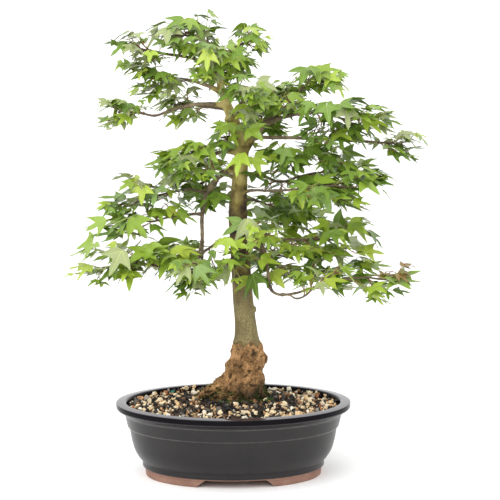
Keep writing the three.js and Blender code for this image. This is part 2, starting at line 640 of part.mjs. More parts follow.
function massSolid(name, seed, spaces, others) {
  const mass = MASSES[name];
  const space = spaces[name];
  const random = seeded(seed);
  const stem = stemOf(mass, space.centre);
  const cutStem = () => mainPiece(stem.solid.subtract(boughTube(mass.on, CUT_MARGIN)));
  const pieces = [stem.atTip ? stem.solid : cutStem()];
  const leaves = [];
  const root = stem.line[0].place;
  const forks = Array.from({ length: STEM_FORKS }, (_, i) => {
    const share = (i + 1) / STEM_FORKS * STEM_STEPS;
    const step = Math.min(Math.floor(share), STEM_STEPS - 1);
    const place = stem.line[step].place.clone().lerp(stem.line[step + 1].place, share - step);
    const girth = lerp(stem.radii[step], stem.radii[step + 1], share - step);
    return { place, along: stem.line[step].along, girth, path: place.distanceTo(root) };
  });
  const ends = twigEnds(space, mass.sprays, random);
  ends.sort((a, b) => a.distanceTo(root) - b.distanceTo(root));
  for (const end of ends) {
    const draws = LEAF_PLACES.map(() => [random(), random(), random(), random()]);
    const limit = depthIn(space, end) * NEARER_SHARE;
    const nearer = Object.values(spaces).some((other) => depthIn(other, end) < limit);
    const barriers = [...others, ...leaves];
    for (const fork of nearer ? [] : forksTo(forks, end)) {
      const girth = Math.min(fork.girth * TWIG_SHARE, TWIG_GIRTH);
      const along = end.clone().sub(fork.place).normalize();
      const solid = tube([{ place: fork.place, along }, { place: end, along }], [girth, 0], TWIG_SIDES);
      const twig = { root: fork.place, end, along };
      const own = [];
      for (const [i, seat] of LEAF_PLACES.entries()) {
        const near = [...barriers, ...pieces, ...own];
        own.push(...leafOn(twig, seat, space, draws[i], near));
      }
      if (own.length > 0 && isClear(solid, barriers)) {
        pieces.push(solid);
        leaves.push(...own);
        forks.splice(forks.indexOf(fork), 1);
        for (const share of TWIG_FORKS) {
          const place = fork.place.clone().lerp(end, share);
          const path = fork.path + place.distanceTo(fork.place);
          forks.push({ place, along, girth: girth * (1 - share), path });
        }
        break;
      }
    }
  }
  return mainPiece(wasm.Manifold.union([...pieces, ...leaves]));
}

// Finishes.
const GLAZE = { colour: '#3b3a3a', roughness: 0.22 };
const GRAVEL = { colour: '#8f8578', roughness: 0.9 };
const TRUNK_BARK = { colour: '#6b5c43', roughness: 0.85 };
const BOUGH_BARK = { colour: '#6a6048', roughness: 0.8 };
const LEAF = { colour: '#5f9a35', roughness: 0.6 };

const tree = new THREE.Group();
tree.add(meshOf('pot', potSolid(), GLAZE));
tree.add(meshOf('gravel', gravelSolid(), GRAVEL));
const grown = [trunkSolid()];
tree.add(meshOf('trunk', grown[0], TRUNK_BARK));
for (const name of Object.keys(BOUGHS)) {
  const bough = boughSolid(name);
  grown.push(bough);
  tree.add(meshOf(`bough_${name}`, bough, BOUGH_BARK));
}
const spaces = {};
for (const [name, mass] of Object.entries(MASSES)) {
  spaces[name] = spaceOf(mass);
}
Object.keys(MASSES).forEach((name, i) => {
  const leaves = massSolid(name, MASS_SEED + i, spaces, grown);
  grown.push(leaves);
  tree.add(meshOf(`leaves_${name}`, leaves, LEAF));
});

// The origin lies on the ground under the middle of the whole plant's box.
const middle = new THREE.Box3().setFromObject(tree).getCenter(new THREE.Vector3());
tree.position.set(-middle.x, -middle.y, 0);

export default tree;
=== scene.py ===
# Bonsai maple tree in an oval glazed pot. The frame holds its solids, and this script gives the looks.
import math
from itertools import product
from random import Random

import bmesh
import bpy
import numpy as np
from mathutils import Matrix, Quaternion, Vector, kdtree, noise
from mathutils.geometry import delaunay_2d_cdt


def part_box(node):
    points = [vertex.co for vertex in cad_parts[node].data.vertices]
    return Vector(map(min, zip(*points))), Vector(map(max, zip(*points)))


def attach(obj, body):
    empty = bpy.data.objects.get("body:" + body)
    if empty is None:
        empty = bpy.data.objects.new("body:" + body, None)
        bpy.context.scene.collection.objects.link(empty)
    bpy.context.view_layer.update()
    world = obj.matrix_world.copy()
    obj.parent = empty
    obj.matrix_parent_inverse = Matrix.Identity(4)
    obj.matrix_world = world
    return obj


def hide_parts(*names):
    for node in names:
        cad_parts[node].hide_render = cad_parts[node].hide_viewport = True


noise.seed_set(2)  # the crooks of boughs and twigs
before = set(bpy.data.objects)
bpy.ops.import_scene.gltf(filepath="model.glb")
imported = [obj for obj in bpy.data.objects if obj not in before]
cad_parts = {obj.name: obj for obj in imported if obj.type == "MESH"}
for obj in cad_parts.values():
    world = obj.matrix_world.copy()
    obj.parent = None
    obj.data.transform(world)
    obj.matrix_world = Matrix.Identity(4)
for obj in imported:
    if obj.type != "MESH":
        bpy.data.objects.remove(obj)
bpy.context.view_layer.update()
print("frame loaded:", len(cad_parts), "nodes")

# Everything grows in millimetres from the middle of the pot's underside, and is set into the frame last.
millimetre = 0.001
up = Vector((0, 0, 1))
potLow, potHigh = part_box("pot")
potMiddle = Vector(((potLow[0] + potHigh[0]) / 2, (potLow[1] + potHigh[1]) / 2, 0))


# Small sums.
def lerp(low, high, share):
    return low + (high - low) * share


def smoothStep(value, low, high):
    share = np.clip((value - low) / (high - low), 0, 1)
    return share * share * (3 - 2 * share)


def heading(turn):  # level direction at a compass turn in degrees from +X
    angle = math.radians(turn)
    return Vector((math.cos(angle), math.sin(angle), 0))


def seededDraws(seed):  # numbers from 0 to 1, the same that the solids' rule draws
    state = seed

    def draw():
        nonlocal state
        state = (state + 0x6D2B79F5) & 0xFFFFFFFF
        mixed = ((state ^ (state >> 15)) * (state | 1)) & 0xFFFFFFFF
        mixed = ((mixed + (mixed ^ (mixed >> 7)) * (mixed | 61)) ^ mixed) & 0xFFFFFFFF
        return (mixed ^ (mixed >> 14)) / 4294967296

    return draw


# Curves: each is a function from a share of its length, 0 to 1, to a place.
def bezier(*points):
    def place(share):
        line = points
        while len(line) > 1:
            line = [a.lerp(b, share) for a, b in zip(line, line[1:])]
        return line[0]

    return place


def throughStations(stations):  # smooth through each station, evenly spread over them
    last = len(stations) - 1

    def place(share):
        i = min(int(share * last), last - 1)
        step = share * last - i
        a, b = stations[i], stations[i + 1]
        before = stations[i - 1] if i > 0 else 2 * a - b
        after = stations[i + 2] if i + 2 <= last else 2 * b - a
        out, back = (b - before) / 2, (after - a) / 2
        cube = (2 * a - 2 * b + out + back) * step ** 3
        square = (3 * b - 3 * a - 2 * out - back) * step ** 2
        return cube + square + out * step + a

    return place


def tangent(curve, share):
    step = 1e-4
    return (curve(min(share + step, 1)) - curve(max(share - step, 0))).normalized()


def alongCurve(curve, steps):
    return [curve(i / steps) for i in range(steps + 1)]


def lengthOf(curve, steps=12):
    places = alongCurve(curve, steps)
    return sum((b - a).length for a, b in zip(places, places[1:]))


# Meshes.
class Pile:  # many small things that are joined into one mesh
    def __init__(self):
        self.corners, self.triangles, self.finishes, self.total = [], [], [], 0

    def add(self, corners, triangles, finish=0):
        self.corners.append(corners)
        self.triangles.append(triangles + self.total)
        self.finishes.append(np.broadcast_to(finish, len(triangles)))
        self.total += len(corners)

    def make(self, name, materials, smooth=True):
        corners = np.concatenate(self.corners)
        triangles = np.concatenate(self.triangles)
        return meshObject(name, corners, triangles, materials, np.concatenate(self.finishes), smooth)


def meshObject(name, corners, triangles, materials, finishes=0, smooth=True):
    mesh = bpy.data.meshes.new(name)
    mesh.vertices.add(len(corners))
    mesh.vertices.foreach_set("co", (corners * millimetre + np.array(potMiddle)).ravel())
    mesh.loops.add(triangles.size)
    mesh.loops.foreach_set("vertex_index", triangles.astype(np.int32).ravel())
    mesh.polygons.add(len(triangles))
    mesh.polygons.foreach_set("loop_start", np.arange(0, triangles.size, 3, dtype=np.int32))
    for material in materials:
        mesh.materials.append(material)
    slots = np.broadcast_to(finishes, len(triangles)).astype(np.int32)
    mesh.polygons.foreach_set("material_index", slots)
    mesh.polygons.foreach_set("use_smooth", np.full(len(triangles), smooth))
    mesh.update(calc_edges=True)
    mesh.validate()
    piece = bpy.data.objects.new(name, mesh)
    bpy.context.scene.collection.objects.link(piece)
    return piece


def placesOf(piece):  # corners of a piece in millimetres from the pot's middle
    flat = np.empty(3 * len(piece.data.vertices), dtype=np.float32)
    piece.data.vertices.foreach_get("co", flat)
    return (flat.reshape(-1, 3) - np.array(potMiddle)) / millimetre


def movePlaces(piece, corners):
    moved = (corners * millimetre + np.array(potMiddle)).astype(np.float32)
    piece.data.vertices.foreach_set("co", moved.ravel())
    piece.data.update()


def ringFaces(rings, sides):  # between rings of corners, and from two last corners to the first and last ring
    j = np.arange(sides)
    k = (j + 1) % sides
    foot, last = rings * sides, (rings - 1) * sides
    rows = []
    for low in range(0, last, sides):
        rows.append(np.stack([low + j, low + sides + j, low + sides + k], 1))
        rows.append(np.stack([low + j, low + sides + k, low + k], 1))
    rows.append(np.stack([np.full(sides, foot), j, k], 1))
    rows.append(np.stack([np.full(sides, foot + 1), last + k, last + j], 1))
    return np.concatenate(rows)


def tube(places, radii, sides, swell=None):  # closed, with flat ends; swell scales the radius
    line = np.array(places, dtype=float)
    way = np.gradient(line, axis=0)
    way /= np.linalg.norm(way, axis=1)[:, None]
    across = np.array((1.0, 0, 0) if abs(way[0][2]) > 0.9 else (0, 0, 1.0))
    angles = np.arange(sides) * (2 * math.pi / sides)
    rings = []
    for place, along, radius in zip(line, way, radii):
        across = across - along * across.dot(along)
        across /= np.linalg.norm(across)
        side = np.cross(across, along)
        reach = radius * (swell(angles, place[2]) if swell else np.ones(sides))
        ring = place + np.outer(np.cos(angles) * reach, across)
        rings.append(ring + np.outer(np.sin(angles) * reach, side))
    return np.concatenate([*rings, line[:1], line[-1:]]), ringFaces(len(line), sides)


def reshaped(piece, *modifiers):  # applies modifiers, each given as its kind and settings
    for kind, settings in modifiers:
        modifier = piece.modifiers.new(kind.lower(), kind)
        for key, value in settings.items():
            setattr(modifier, key, value)
    shape = piece.evaluated_get(bpy.context.evaluated_depsgraph_get())
    mesh = bpy.data.meshes.new_from_object(shape)
    piece.modifiers.clear()
    piece.data = mesh
    return piece


# Materials.
def linear(value):  # an sRGB hex colour to linear, with alpha; other values stay as they are
    if not isinstance(value, str):
        return value
    shares = [int(value[i:i + 2], 16) / 255 for i in (1, 3, 5)]
    return (*[s / 12.92 if s <= 0.04045 else ((s + 0.055) / 1.055) ** 2.4 for s in shares], 1)


def addNode(tree, kind, output, settings=None, links=None):  # gives the output that goes on from it
    node = tree.nodes.new("ShaderNode" + kind)
    for key, value in (settings or {}).items():
        if key == "stops":
            stops = node.color_ramp.elements
            while len(stops) < len(value):
                stops.new(0.5)
            for stop, (position, colour) in zip(stops, value):
                stop.position, stop.color = position, linear(colour)
        elif isinstance(key, int) or key in node.inputs:
            node.inputs[key].default_value = linear(value)
        else:
            setattr(node, key, value)
    for key, socket in (links or {}).items():
        tree.links.new(socket, node.inputs[key])
    return node.outputs[output]


def newMaterial(name, settings):  # a Principled shader with constant settings on its own sockets
    material = bpy.data.materials.new(name)
    material.use_nodes = True
    shader = material.node_tree.nodes["Principled BSDF"]
    for key, value in settings.items():
        shader.inputs[key].default_value = linear(value)
    return material, material.node_tree, shader


def plainFinishes(kind, tints, settings):  # one material of one tint each
    return [newMaterial(f"{kind} {name}", {"Base Color": code, **settings})[0] for name, code in tints]


def perMetre(size):  # scale of a pattern whose features measure so many millimetres
    return 1 / (size * millimetre)


def mottled(name, settings, clouds, flecks=None, grain=None):
    # Tones in clouds, with flecks of one tone over them, and a grain that only the light shows. Each has
    # the size of its pattern in mm.
    material, tree, shader = newMaterial(name, settings)
    place = addNode(tree, "TexCoord", "Object")
    noises = []
    for layer in (clouds, flecks, grain):
        if layer:
            pattern = {"Scale": perMetre(layer["size"]), "Detail": layer["detail"]}
            noises.append(addNode(tree, "TexNoise", "Fac", pattern, {"Vector": place}))
    tone = addNode(tree, "ValToRGB", "Color", {"stops": clouds["tones"]}, {"Fac": noises[0]})
    if flecks:
        low, high = flecks["between"]
        stops = [(low, (0, 0, 0, 1)), (high, (*[flecks["share"]] * 3, 1))]
        share = addNode(tree, "ValToRGB", "Color", {"stops": stops}, {"Fac": noises[1]})
        tone = addNode(tree, "Mix", 2, {"data_type": "RGBA", 7: flecks["tone"]}, {0: share, 6: tone})
    tree.links.new(tone, shader.inputs["Base Color"])
    if grain:
        bump = {"Strength": grain["strength"], "Distance": grain["depth"] * millimetre}
        relief = addNode(tree, "Bump", "Normal", bump, {"Height": noises[-1]})
        tree.links.new(relief, shader.inputs["Normal"])
    return material, tree, shader


def glazedStoneware():
    # Wheel-thrown look, dipped in a charcoal iron glaze and fired to a satin: it breaks to brown grey where
    # it thins on ridges, where a highlight is painted too, and has fine pinholes; on the rim light and shade
    # are painted.
    pinholes = {"size": 5, "edge": (0.02, 0.09), "strength": 0.25, "depth": 0.25}
    material, tree, shader = mottled(
        "glazed stoneware", {"Roughness": 0.32, "IOR": 1.42},
        clouds={"size": 38, "detail": 4, "tones": [(0.3, "#131011"), (0.7, "#1d191a")]},
        flecks={"size": 1.6, "detail": 1, "between": (0.66, 0.78), "share": 0.35, "tone": "#4a443c"},
    )
    place = addNode(tree, "TexCoord", "Object")
    cells = addNode(tree, "TexVoronoi", "Distance", {"Scale": perMetre(pinholes["size"])}, {"Vector": place})
    edge = dict(zip(("From Min", "From Max"), pinholes["edge"]))
    pits = addNode(tree, "MapRange", "Result", edge, {"Value": cells})
    bump = {"Strength": pinholes["strength"], "Distance": pinholes["depth"] * millimetre}
    tree.links.new(addNode(tree, "Bump", "Normal", bump, {"Height": pits}), shader.inputs["Normal"])
    return material


def rimGlazeWithPaintedLight(name, gloss, low, high):
    # The same glaze on the rim, with a hint of purple, in two copies: on the level lip glassy and painted
    # lighter, a painted reflection of the bright room, and on the outer edge dull and almost black, painted
    # shade.
    clouds = {"size": 30, "detail": 3, "tones": [(0.3, low), (0.7, high)]}
    return mottled(name, {"Roughness": 0.08, "IOR": gloss}, clouds)[0]


def thinGlazeAndPaintedHighlight():
    # The same glaze where it runs off a ridge and the clay shows through as a paler brown grey, painted paler
    # still as a painted highlight along the ridge.
    clouds = {"size": 9, "detail": 3, "tones": [(0.3, "#2a2725"), (0.7, "#4c4843")]}
    return mottled("thin glaze and painted highlight", {"Roughness": 0.34, "IOR": 1.45}, clouds)[0]


def bareTerracotta():
    # Unglazed foot of pinkish fired clay, wiped with a sponge: matt, with fine grit.
    return mottled(
        "bare terracotta", {"Roughness": 0.85, "IOR": 1.45},
        clouds={"size": 22, "detail": 5, "tones": [(0.32, "#856455"), (0.68, "#a07c6c")]},
        grain={"size": 0.7, "detail": 2, "strength": 0.5, "depth": 0.12},
    )[0]


# Pot.
pot = {
    "halfLength": 152.5, "halfWidth": 120, "footInner": 101, "segments": 224, "cornerSteps": 5,
    # half length, height and rounding of each corner, from the underside round the rim to the inner floor
    "outline": [
        (101, 9, 0), (102, 0, 0.8), (114, 0, 1.4), (114.9, 7.4, 0.2), (114.4, 7.8, 0.2), (115, 8.3, 0.2),
        (115.6, 10.5, 0.6), (118.4, 12.5, 1.6), (118.4, 16, 1.8), (117.8, 18.5, 1.6), (123.5, 25, 5),
        (129.2, 35, 6), (133, 50, 7), (134.9, 62.6, 0.7), (137.6, 65, 1), (141, 80, 3), (144.6, 84, 2),
        (151, 87.6, 1.4), (152.5, 90, 0.9), (152.3, 95.6, 0.8), (140.4, 96.4, 1.2), (138.6, 94.6, 1.4),
        (137.5, 90, 3), (130, 50, 8), (118, 24, 6), (108, 18, 3),
    ],
    "underside": 9, "floor": 18, "sharpFrom": 38,
    # between which heights other finishes lie than the glaze, by their number in makePot: thin glaze with a
    # painted highlight, bare foot, the rim's edge in painted shade and its lip with painted reflection
    "bands": [(1, 63.2, 64.9), (1, 80.3, 81.4), (2, -1, 11.2), (3, 89, 99), (4, 95.3, 99)],
    "notchAtFloor": 50.5, "notchAtTop": 38.8, "notchTop": 10, "drainRadius": 10, "drainX": 45,
    "drainSides": 32,
}
pot["offset"] = pot["halfLength"] - pot["halfWidth"]


def roundedOutline(outline, steps):  # each corner becomes a short curve of its own rounding
    line = []
    for i, (reach, height, rounding) in enumerate(outline):
        corner = Vector((reach, height))
        if rounding == 0 or i in (0, len(outline) - 1):
            line.append(corner)
            continue
        before = Vector(outline[i - 1][:2]) - corner
        after = Vector(outline[i + 1][:2]) - corner
        start = corner + before.normalized() * min(rounding, before.length * 0.48)
        end = corner + after.normalized() * min(rounding, after.length * 0.48)
        line += alongCurve(bezier(start, corner, end), steps)
    return line


def narrowing(reach):  # half width over half length of the oval at that half length
    return 1 - pot["offset"] / np.maximum(reach, pot["footInner"])


def ovalTurned(line, low, high):  # a turned outline drawn into an oval, closed on its axis
    count = pot["segments"]
    angles = np.arange(count) * (2 * math.pi / count)
    rings = [
        np.stack([r * np.cos(angles), r * np.sin(angles) * narrowing(r), np.full(count, z)], 1)
        for r, z in line
    ]
    corners = np.concatenate([*rings, [(0, 0, low)], [(0, 0, high)]])
    return corners, ringFaces(len(line), count)[:, ::-1]


def prism(outline, start, end):  # an outline of x and z, drawn along y
    count = len(outline)
    corners = np.array([(x, y, z) for y in (start, end) for x, z in outline], dtype=float)
    j = np.arange(1, count - 1)
    caps = [np.stack([0 * j, j, j + 1], 1), np.stack([0 * j + count, count + j + 1, count + j], 1)]
    j = np.arange(count)
    k = (j + 1) % count
    sides = [np.stack([j, count + j, count + k], 1), np.stack([j, count + k, k], 1)]
    return corners, np.concatenate(caps + sides)


def makePot():
    line = roundedOutline(pot["outline"], pot["cornerSteps"])
    piece = meshObject("pot_glazed", *ovalTurned(line, pot["underside"], pot["floor"]), [])
    wide, narrow, top = pot["notchAtFloor"], pot["notchAtTop"], pot["notchTop"]
    notch = [(-wide, -1), (wide, -1), (wide, 0), (narrow, top), (-narrow, top), (-wide, 0)]
    cutters = [meshObject("notch", *prism(notch, -pot["halfWidth"], pot["halfWidth"]), [], 0, False)]
    for x in (-pot["drainX"], pot["drainX"]):
        hole = [Vector((x, 0, z)) for z in (-1, pot["floor"] / 2, 2 * pot["floor"])]
        drain = tube(hole, [pot["drainRadius"]] * len(hole), pot["drainSides"])
        cutters.append(meshObject("drain", *drain, []))
    for cutter in cutters:
        reshaped(piece, ("BOOLEAN", {"operation": "DIFFERENCE", "solver": "EXACT", "object": cutter}))
        bpy.data.objects.remove(cutter)
    # the rim's outer edge gets painted shade, and its level lip a painted reflection
    edge = rimGlazeWithPaintedLight("glaze on the edge in painted shade", 1.16, "#060407", "#0e0a10")
    lip = rimGlazeWithPaintedLight("glaze on the lip with painted reflection", 1.45, "#272228", "#363038")
    for material in (glazedStoneware(), thinGlazeAndPaintedHighlight(), bareTerracotta(), edge, lip):
        piece.data.materials.append(material)
    for face in piece.data.polygons:
        height = face.center.z / millimetre
        finishes = [finish for finish, low, high in pot["bands"] if low < height < high]
        face.material_index = max(finishes, default=0)
        face.use_smooth = True
    piece.data.set_sharp_from_angle(angle=math.radians(pot["sharpFrom"]))
    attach(piece, "root")
    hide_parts("pot")
    print("pot:", len(piece.data.polygons), "faces")


makePot()


# Trunk and boughs: the same curves as their solids.
trunk = {
    "foot": 98.3, "sides": 44, "steps": 170,
    # height, lean along X and Y, and radius at each station
    "stations": [
        (94.3, 15, 11, 25.5), (112, 15, 11, 23.5), (128, 15, 11, 24.5), (148, 18, 11, 22.5),
        (165, 18, 9, 18.6), (193, 16, 7, 14.4), (240, 12, 5, 13.2), (302, 8, 4, 12), (344, 6, 4, 11.6),
        (387, 9, 4, 9.2), (421, 11, 4, 8.8), (441, 8, 4, 7.8), (462, -1, 4, 7), (485, -10, 4, 5.8),
        (510, -17, 4, 4.4), (533, -19, 4, 3.5), (548, -24, 4, 2.8),
    ],
    "burlTop": 178, "burlFade": 40, "burlDepth": 0.1, "burlWaves": (0.13, 0.09), "ribDepth": 0.03,
    "ribWave": 0.02,
    # surface roots: turn, reach, height on the trunk, radius there and at the tip
    "roots": [
        (187, 66, 42, 12, 3.2), (205, 44, 30, 12, 5), (240, 33, 20, 12, 6), (290, 29, 18, 12, 7),
        (345, 30, 16, 12, 7), (42, 36, 24, 12, 6), (112, 42, 26, 12, 5),
    ],
    "rootSteps": 14, "rootSides": 20, "rootCrook": 2, "rootWave": 14,
    # burrs and pruning scars: height, turn, radius
    "burrs": [(142, 300, 7), (147, 8, 9), (215, 352, 5.5), (460, 200, 6)], "burrPlace": 0.8,
    "burrSteps": 12, "burrSides": 18,
    "voxel": 0.9, "smoothing": 8, "mossTop": 124,
}

# Boughs: carrier, place on it, turn, reach, rise, arch, sway and radius at root and tip, as in the solids.
boughs = {
    "fork_right": ("trunk", 419, 9, 42, 43, 7, -3, (5.8, 3.4)),
    "right_reach": ("fork_right", 0.7, 346, 62, 16, 4, 4, (2.9, 2)),
    "long_right": ("fork_right", 0.32, 356, 160, -6, 2, 6, (2.4, 1.4)),
    "apex_right": ("trunk", 530, 8, 30, 26, 5, 0, (2, 1.4)),
    "top_left": ("trunk", 526, 183, 66, 17, 4, 5, (2.6, 1.6)),
    "upper_left": ("trunk", 493, 170, 42, 17, 3, -3, (3, 2)),
    "finger_left": ("trunk", 478, 188, 82, -9, 8, 5, (3.1, 1.6)),
    "mid_left": ("trunk", 416, 192, 32, 2, 4, 2, (3.6, 2.2)),
    "arch_left": ("trunk", 396, 176, 36, -18, 10, 0, (5.2, 3.2)),
    "strut_left": ("arch_left", 1, 214, 17, -95, 4, 5, (2.9, 1.9)),
    "strut_front": ("strut_left", 0.8, 262, 26, -14, 3, 2, (1.7, 1.2)),
    "side_left": ("strut_left", 0.45, 186, 56, -7, 3, 3, (1.8, 1.2)),
    "side_top": ("strut_left", 0.16, 164, 30, 4, 3, 0, (1.9, 1.3)),
    "mid_right": ("trunk", 390, 16, 44, -8, 4, 3, (2.8, 1.8)),
    "cross_front": ("trunk", 364, 310, 40, 8, 3, 3, (2.3, 1.5)),
    "low_right": ("trunk", 311, 318, 34, -8, 5, 0, (3.2, 2.4)),
    "spur_right": ("low_right", 0.6, 352, 34, 0, 3, 2, (2, 1.4)),
    "drop_right": ("low_right", 1, 318, 17, -52, 5, 0, (2.3, 1.9)),
    "run_right": ("drop_right", 1, 0, 84, 6, -4, 3, (1.8, 1.2)),
    "run_front": ("run_right", 0.3, 300, 26, 0, 3, 1, (1.4, 1.1)),
    "dark_right": ("trunk", 302, 18, 62, -42, 12, 5, (2.7, 1.6)),
    "back_low": ("trunk", 292, 58, 54, -6, 7, 4, (3, 1.9)),
    "back_low_left": ("trunk", 304, 132, 50, -10, 7, 4, (2.9, 1.8)),
    "back_right": ("trunk", 350, 62, 48, 4, 5, 4, (3, 1.9)),
    "back_left": ("trunk", 380, 118, 46, 6, 5, 4, (3, 1.9)),
    "back_top": ("trunk", 460, 70, 44, 20, 3, 3, (3, 1.9)),
}
boughForm = {
    "sides": 12, "step": 2, "crook": 0.9, "crookWave": 17, "nodeStep": 15, "nodeSwell": 0.2, "nodeWidth": 1.5,
    "roughness": 0.07, "roughWave": 3,
    # where a bough leaves the trunk in a collar, and where it leaves another bough
    "collarSteps": 12, "collarSides": 16, "collarGirth": 0.93, "collarSwell": 0.7, "collarLength": 5,
    "collarReach": 11, "collarMost": 0.6, "forkSwell": 0.6, "forkLength": 3,
}

stations = throughStations([Vector((x, y, z, radius)) for z, x, y, radius in trunk["stations"]])
curves = {"trunk": lambda share: stations(share).xyz}
girths = {"trunk": (0, trunk["stations"][-1][3])}
trunkTip = trunk["stations"][-1][0]


def trunkShare(height):
    low, high = 0, 1
    while high - low > 1e-6:
        middle = (low + high) / 2
        low, high = (middle, high) if curves["trunk"](middle).z < height else (low, middle)
    return low


def rootOf(on, at):  # where a limb or stem starts, the direction of its carrier, and if that is its tip
    atTip = at >= trunkTip if on == "trunk" else at == 1
    share = 1 if atTip else trunkShare(at) if on == "trunk" else at
    return curves[on](share), tangent(curves[on], share), atTip


def boughCurve(on, at, turn, reach, rise, arch, sway, _):
    place, along, atTip = rootOf(on, at)
    out = heading(turn)
    side = Vector((-out.y, out.x, 0))
    tip = place + out * reach + up * rise
    first = place.lerp(tip, 1 / 3) + up * arch + side * sway
    second = place.lerp(tip, 2 / 3) + up * arch - side * sway
    if atTip:
        first = place + along * (tip - place).length / 3
    return bezier(place, first, second, tip)


for name, bough in boughs.items():
    curves[name] = boughCurve(*bough)
    girths[name] = bough[-1]

# Places along all limbs, with the radius there, so that leaves and gravel keep clear of the wood.
limbPlaces = []
for name, curve in curves.items():
    steps = 120 if name == "trunk" else 30
    for i in range(steps + 1):
        share = i / steps
        radius = stations(share).w if name == "trunk" else lerp(*girths[name], share)
        limbPlaces.append((curve(share), radius))


def trunkSwell(angle, height):  # burl lumps at the foot and faint ribs above, as in the solid
    fade = 1 - smoothStep(height, trunk["burlTop"] - trunk["burlFade"], trunk["burlTop"])
    first, second = trunk["burlWaves"]
    lump = np.sin(3 * angle + height * first) * np.cos(2 * angle - height * second)
    rib = np.sin(4 * angle + height * trunk["ribWave"])
    return 1 + trunk["burlDepth"] * fade * lump + trunk["ribDepth"] * rib


def rootCurve(turn, reach, crest, girth, tip):
    foot = curves["trunk"](0)
    out = heading(turn)
    low = trunk["foot"]
    return bezier(
        Vector((foot.x, foot.y, low + crest)),
        foot + out * reach * 0.6 + up * (low + crest * 0.3 - foot.z),
        foot + out * reach + up * (low - tip / 2 - foot.z),
    )


for root in trunk["roots"]:
    steps = 20
    for i in range(steps + 1):
        limbPlaces.append((rootCurve(*root)(i / steps), lerp(root[3], root[4], i / steps)))
limbTree = kdtree.KDTree(len(limbPlaces))
for i, (place, _) in enumerate(limbPlaces):
    limbTree.insert(place, i)
limbTree.balance()


def clearOfWood(place, margin):
    _, i, distance = limbTree.find(place)
    return distance > limbPlaces[i][1] + margin


def crooked(curve, steps, amount, wave, seed):  # a curve's places, pushed about between its ends
    places = []
    for i in range(steps + 1):
        share = i / steps
        place = curve(share)
        push = noise.noise_vector(place / wave + Vector((seed, 0, 0)))
        places.append(place + push * amount * math.sin(math.pi * share) ** 0.5)
    return places


# Relief of the bark. Lumps, grit and waver are sizes and depths in mm, and fibres are a width, a length
# along the trunk and a depth.
barkForm = {
    "burlEdge": 12, "burlWaver": [(9, 9)], "lift": 0.6,
    "lumps": [(15, 2.8), (6.5, 1.5)], "lumpsFrom": (28, 46), "lumpsLoss": 0.65,
    "fibres": (2.6, 9, 0.9), "grit": [(1.7, 0.35)],
    "pitSize": 5.2, "pitFrom": (0.1, 0.6), "pitDepth": 2,
    "youngFibres": (4, 26, 0.35), "youngGrit": [(1.8, 0.12)],
    # darker in pits and dips, and on what is low and near the foot, higher up on the right: soil, and painted
    # shade in the hollows, under the roots and on the right side away from the lamp
    "soilAndShadeInPits": 0.8, "soilAndShadeInDips": 0.85, "dips": (0.4, 3), "soilAndShadeLow": 0.85, "soilAndShadeReach": (28, 42),
    "soilAndShadeLevel": (100, 126), "soilAndShadeWaver": [(5, 6), (16, 14)], "soilAndShadeSlope": 0.35,
}


def roughness(place, layers, start=0):  # layers of noise added up
    return sum((noise.noise(place / size) * depth for size, depth in layers), start)


def fibrous(place, width, length, depth):  # noise drawn out along the trunk
    return noise.noise(Vector((place.x / width, place.y / width, place.z / length))) * depth


def barkRelief(place):  # how far the bark stands out there in millimetres, how much it is burl, and how dark it is painted with soil and painted shade
    _, footX, footY, _ = trunk["stations"][0]
    away = math.hypot(place.x - footX, place.y - footY)
    top = trunk["burlTop"]
    burl = 1 - smoothStep(roughness(place, barkForm["burlWaver"], place.z), top - barkForm["burlEdge"], top)
    lumps = roughness(place, barkForm["lumps"])
    lumps *= 1 - barkForm["lumpsLoss"] * smoothStep(away, *barkForm["lumpsFrom"])
    fibres = roughness(place, barkForm["grit"], fibrous(place, *barkForm["fibres"]))
    pit = smoothStep(-noise.noise(place / barkForm["pitSize"]), *barkForm["pitFrom"])
    young = roughness(place, barkForm["youngGrit"], fibrous(place, *barkForm["youngFibres"]))
    relief = lerp(young, barkForm["lift"] + lumps + fibres - barkForm["pitDepth"] * pit, burl)
    # soil and painted shade: darker in pits, dips, low round the foot, and higher up on the right
    level = roughness(place, barkForm["soilAndShadeWaver"], place.z) - barkForm["soilAndShadeSlope"] * (place.x - footX)
    low = (1 - smoothStep(away, *barkForm["soilAndShadeReach"])) * (1 - smoothStep(level, *barkForm["soilAndShadeLevel"]))
    dip = smoothStep(-lumps - fibres, *barkForm["dips"])
    soilAndShade = max(barkForm["soilAndShadeInPits"] * pit, barkForm["soilAndShadeInDips"] * dip, barkForm["soilAndShadeLow"] * low)
    return relief, burl, burl * soilAndShade


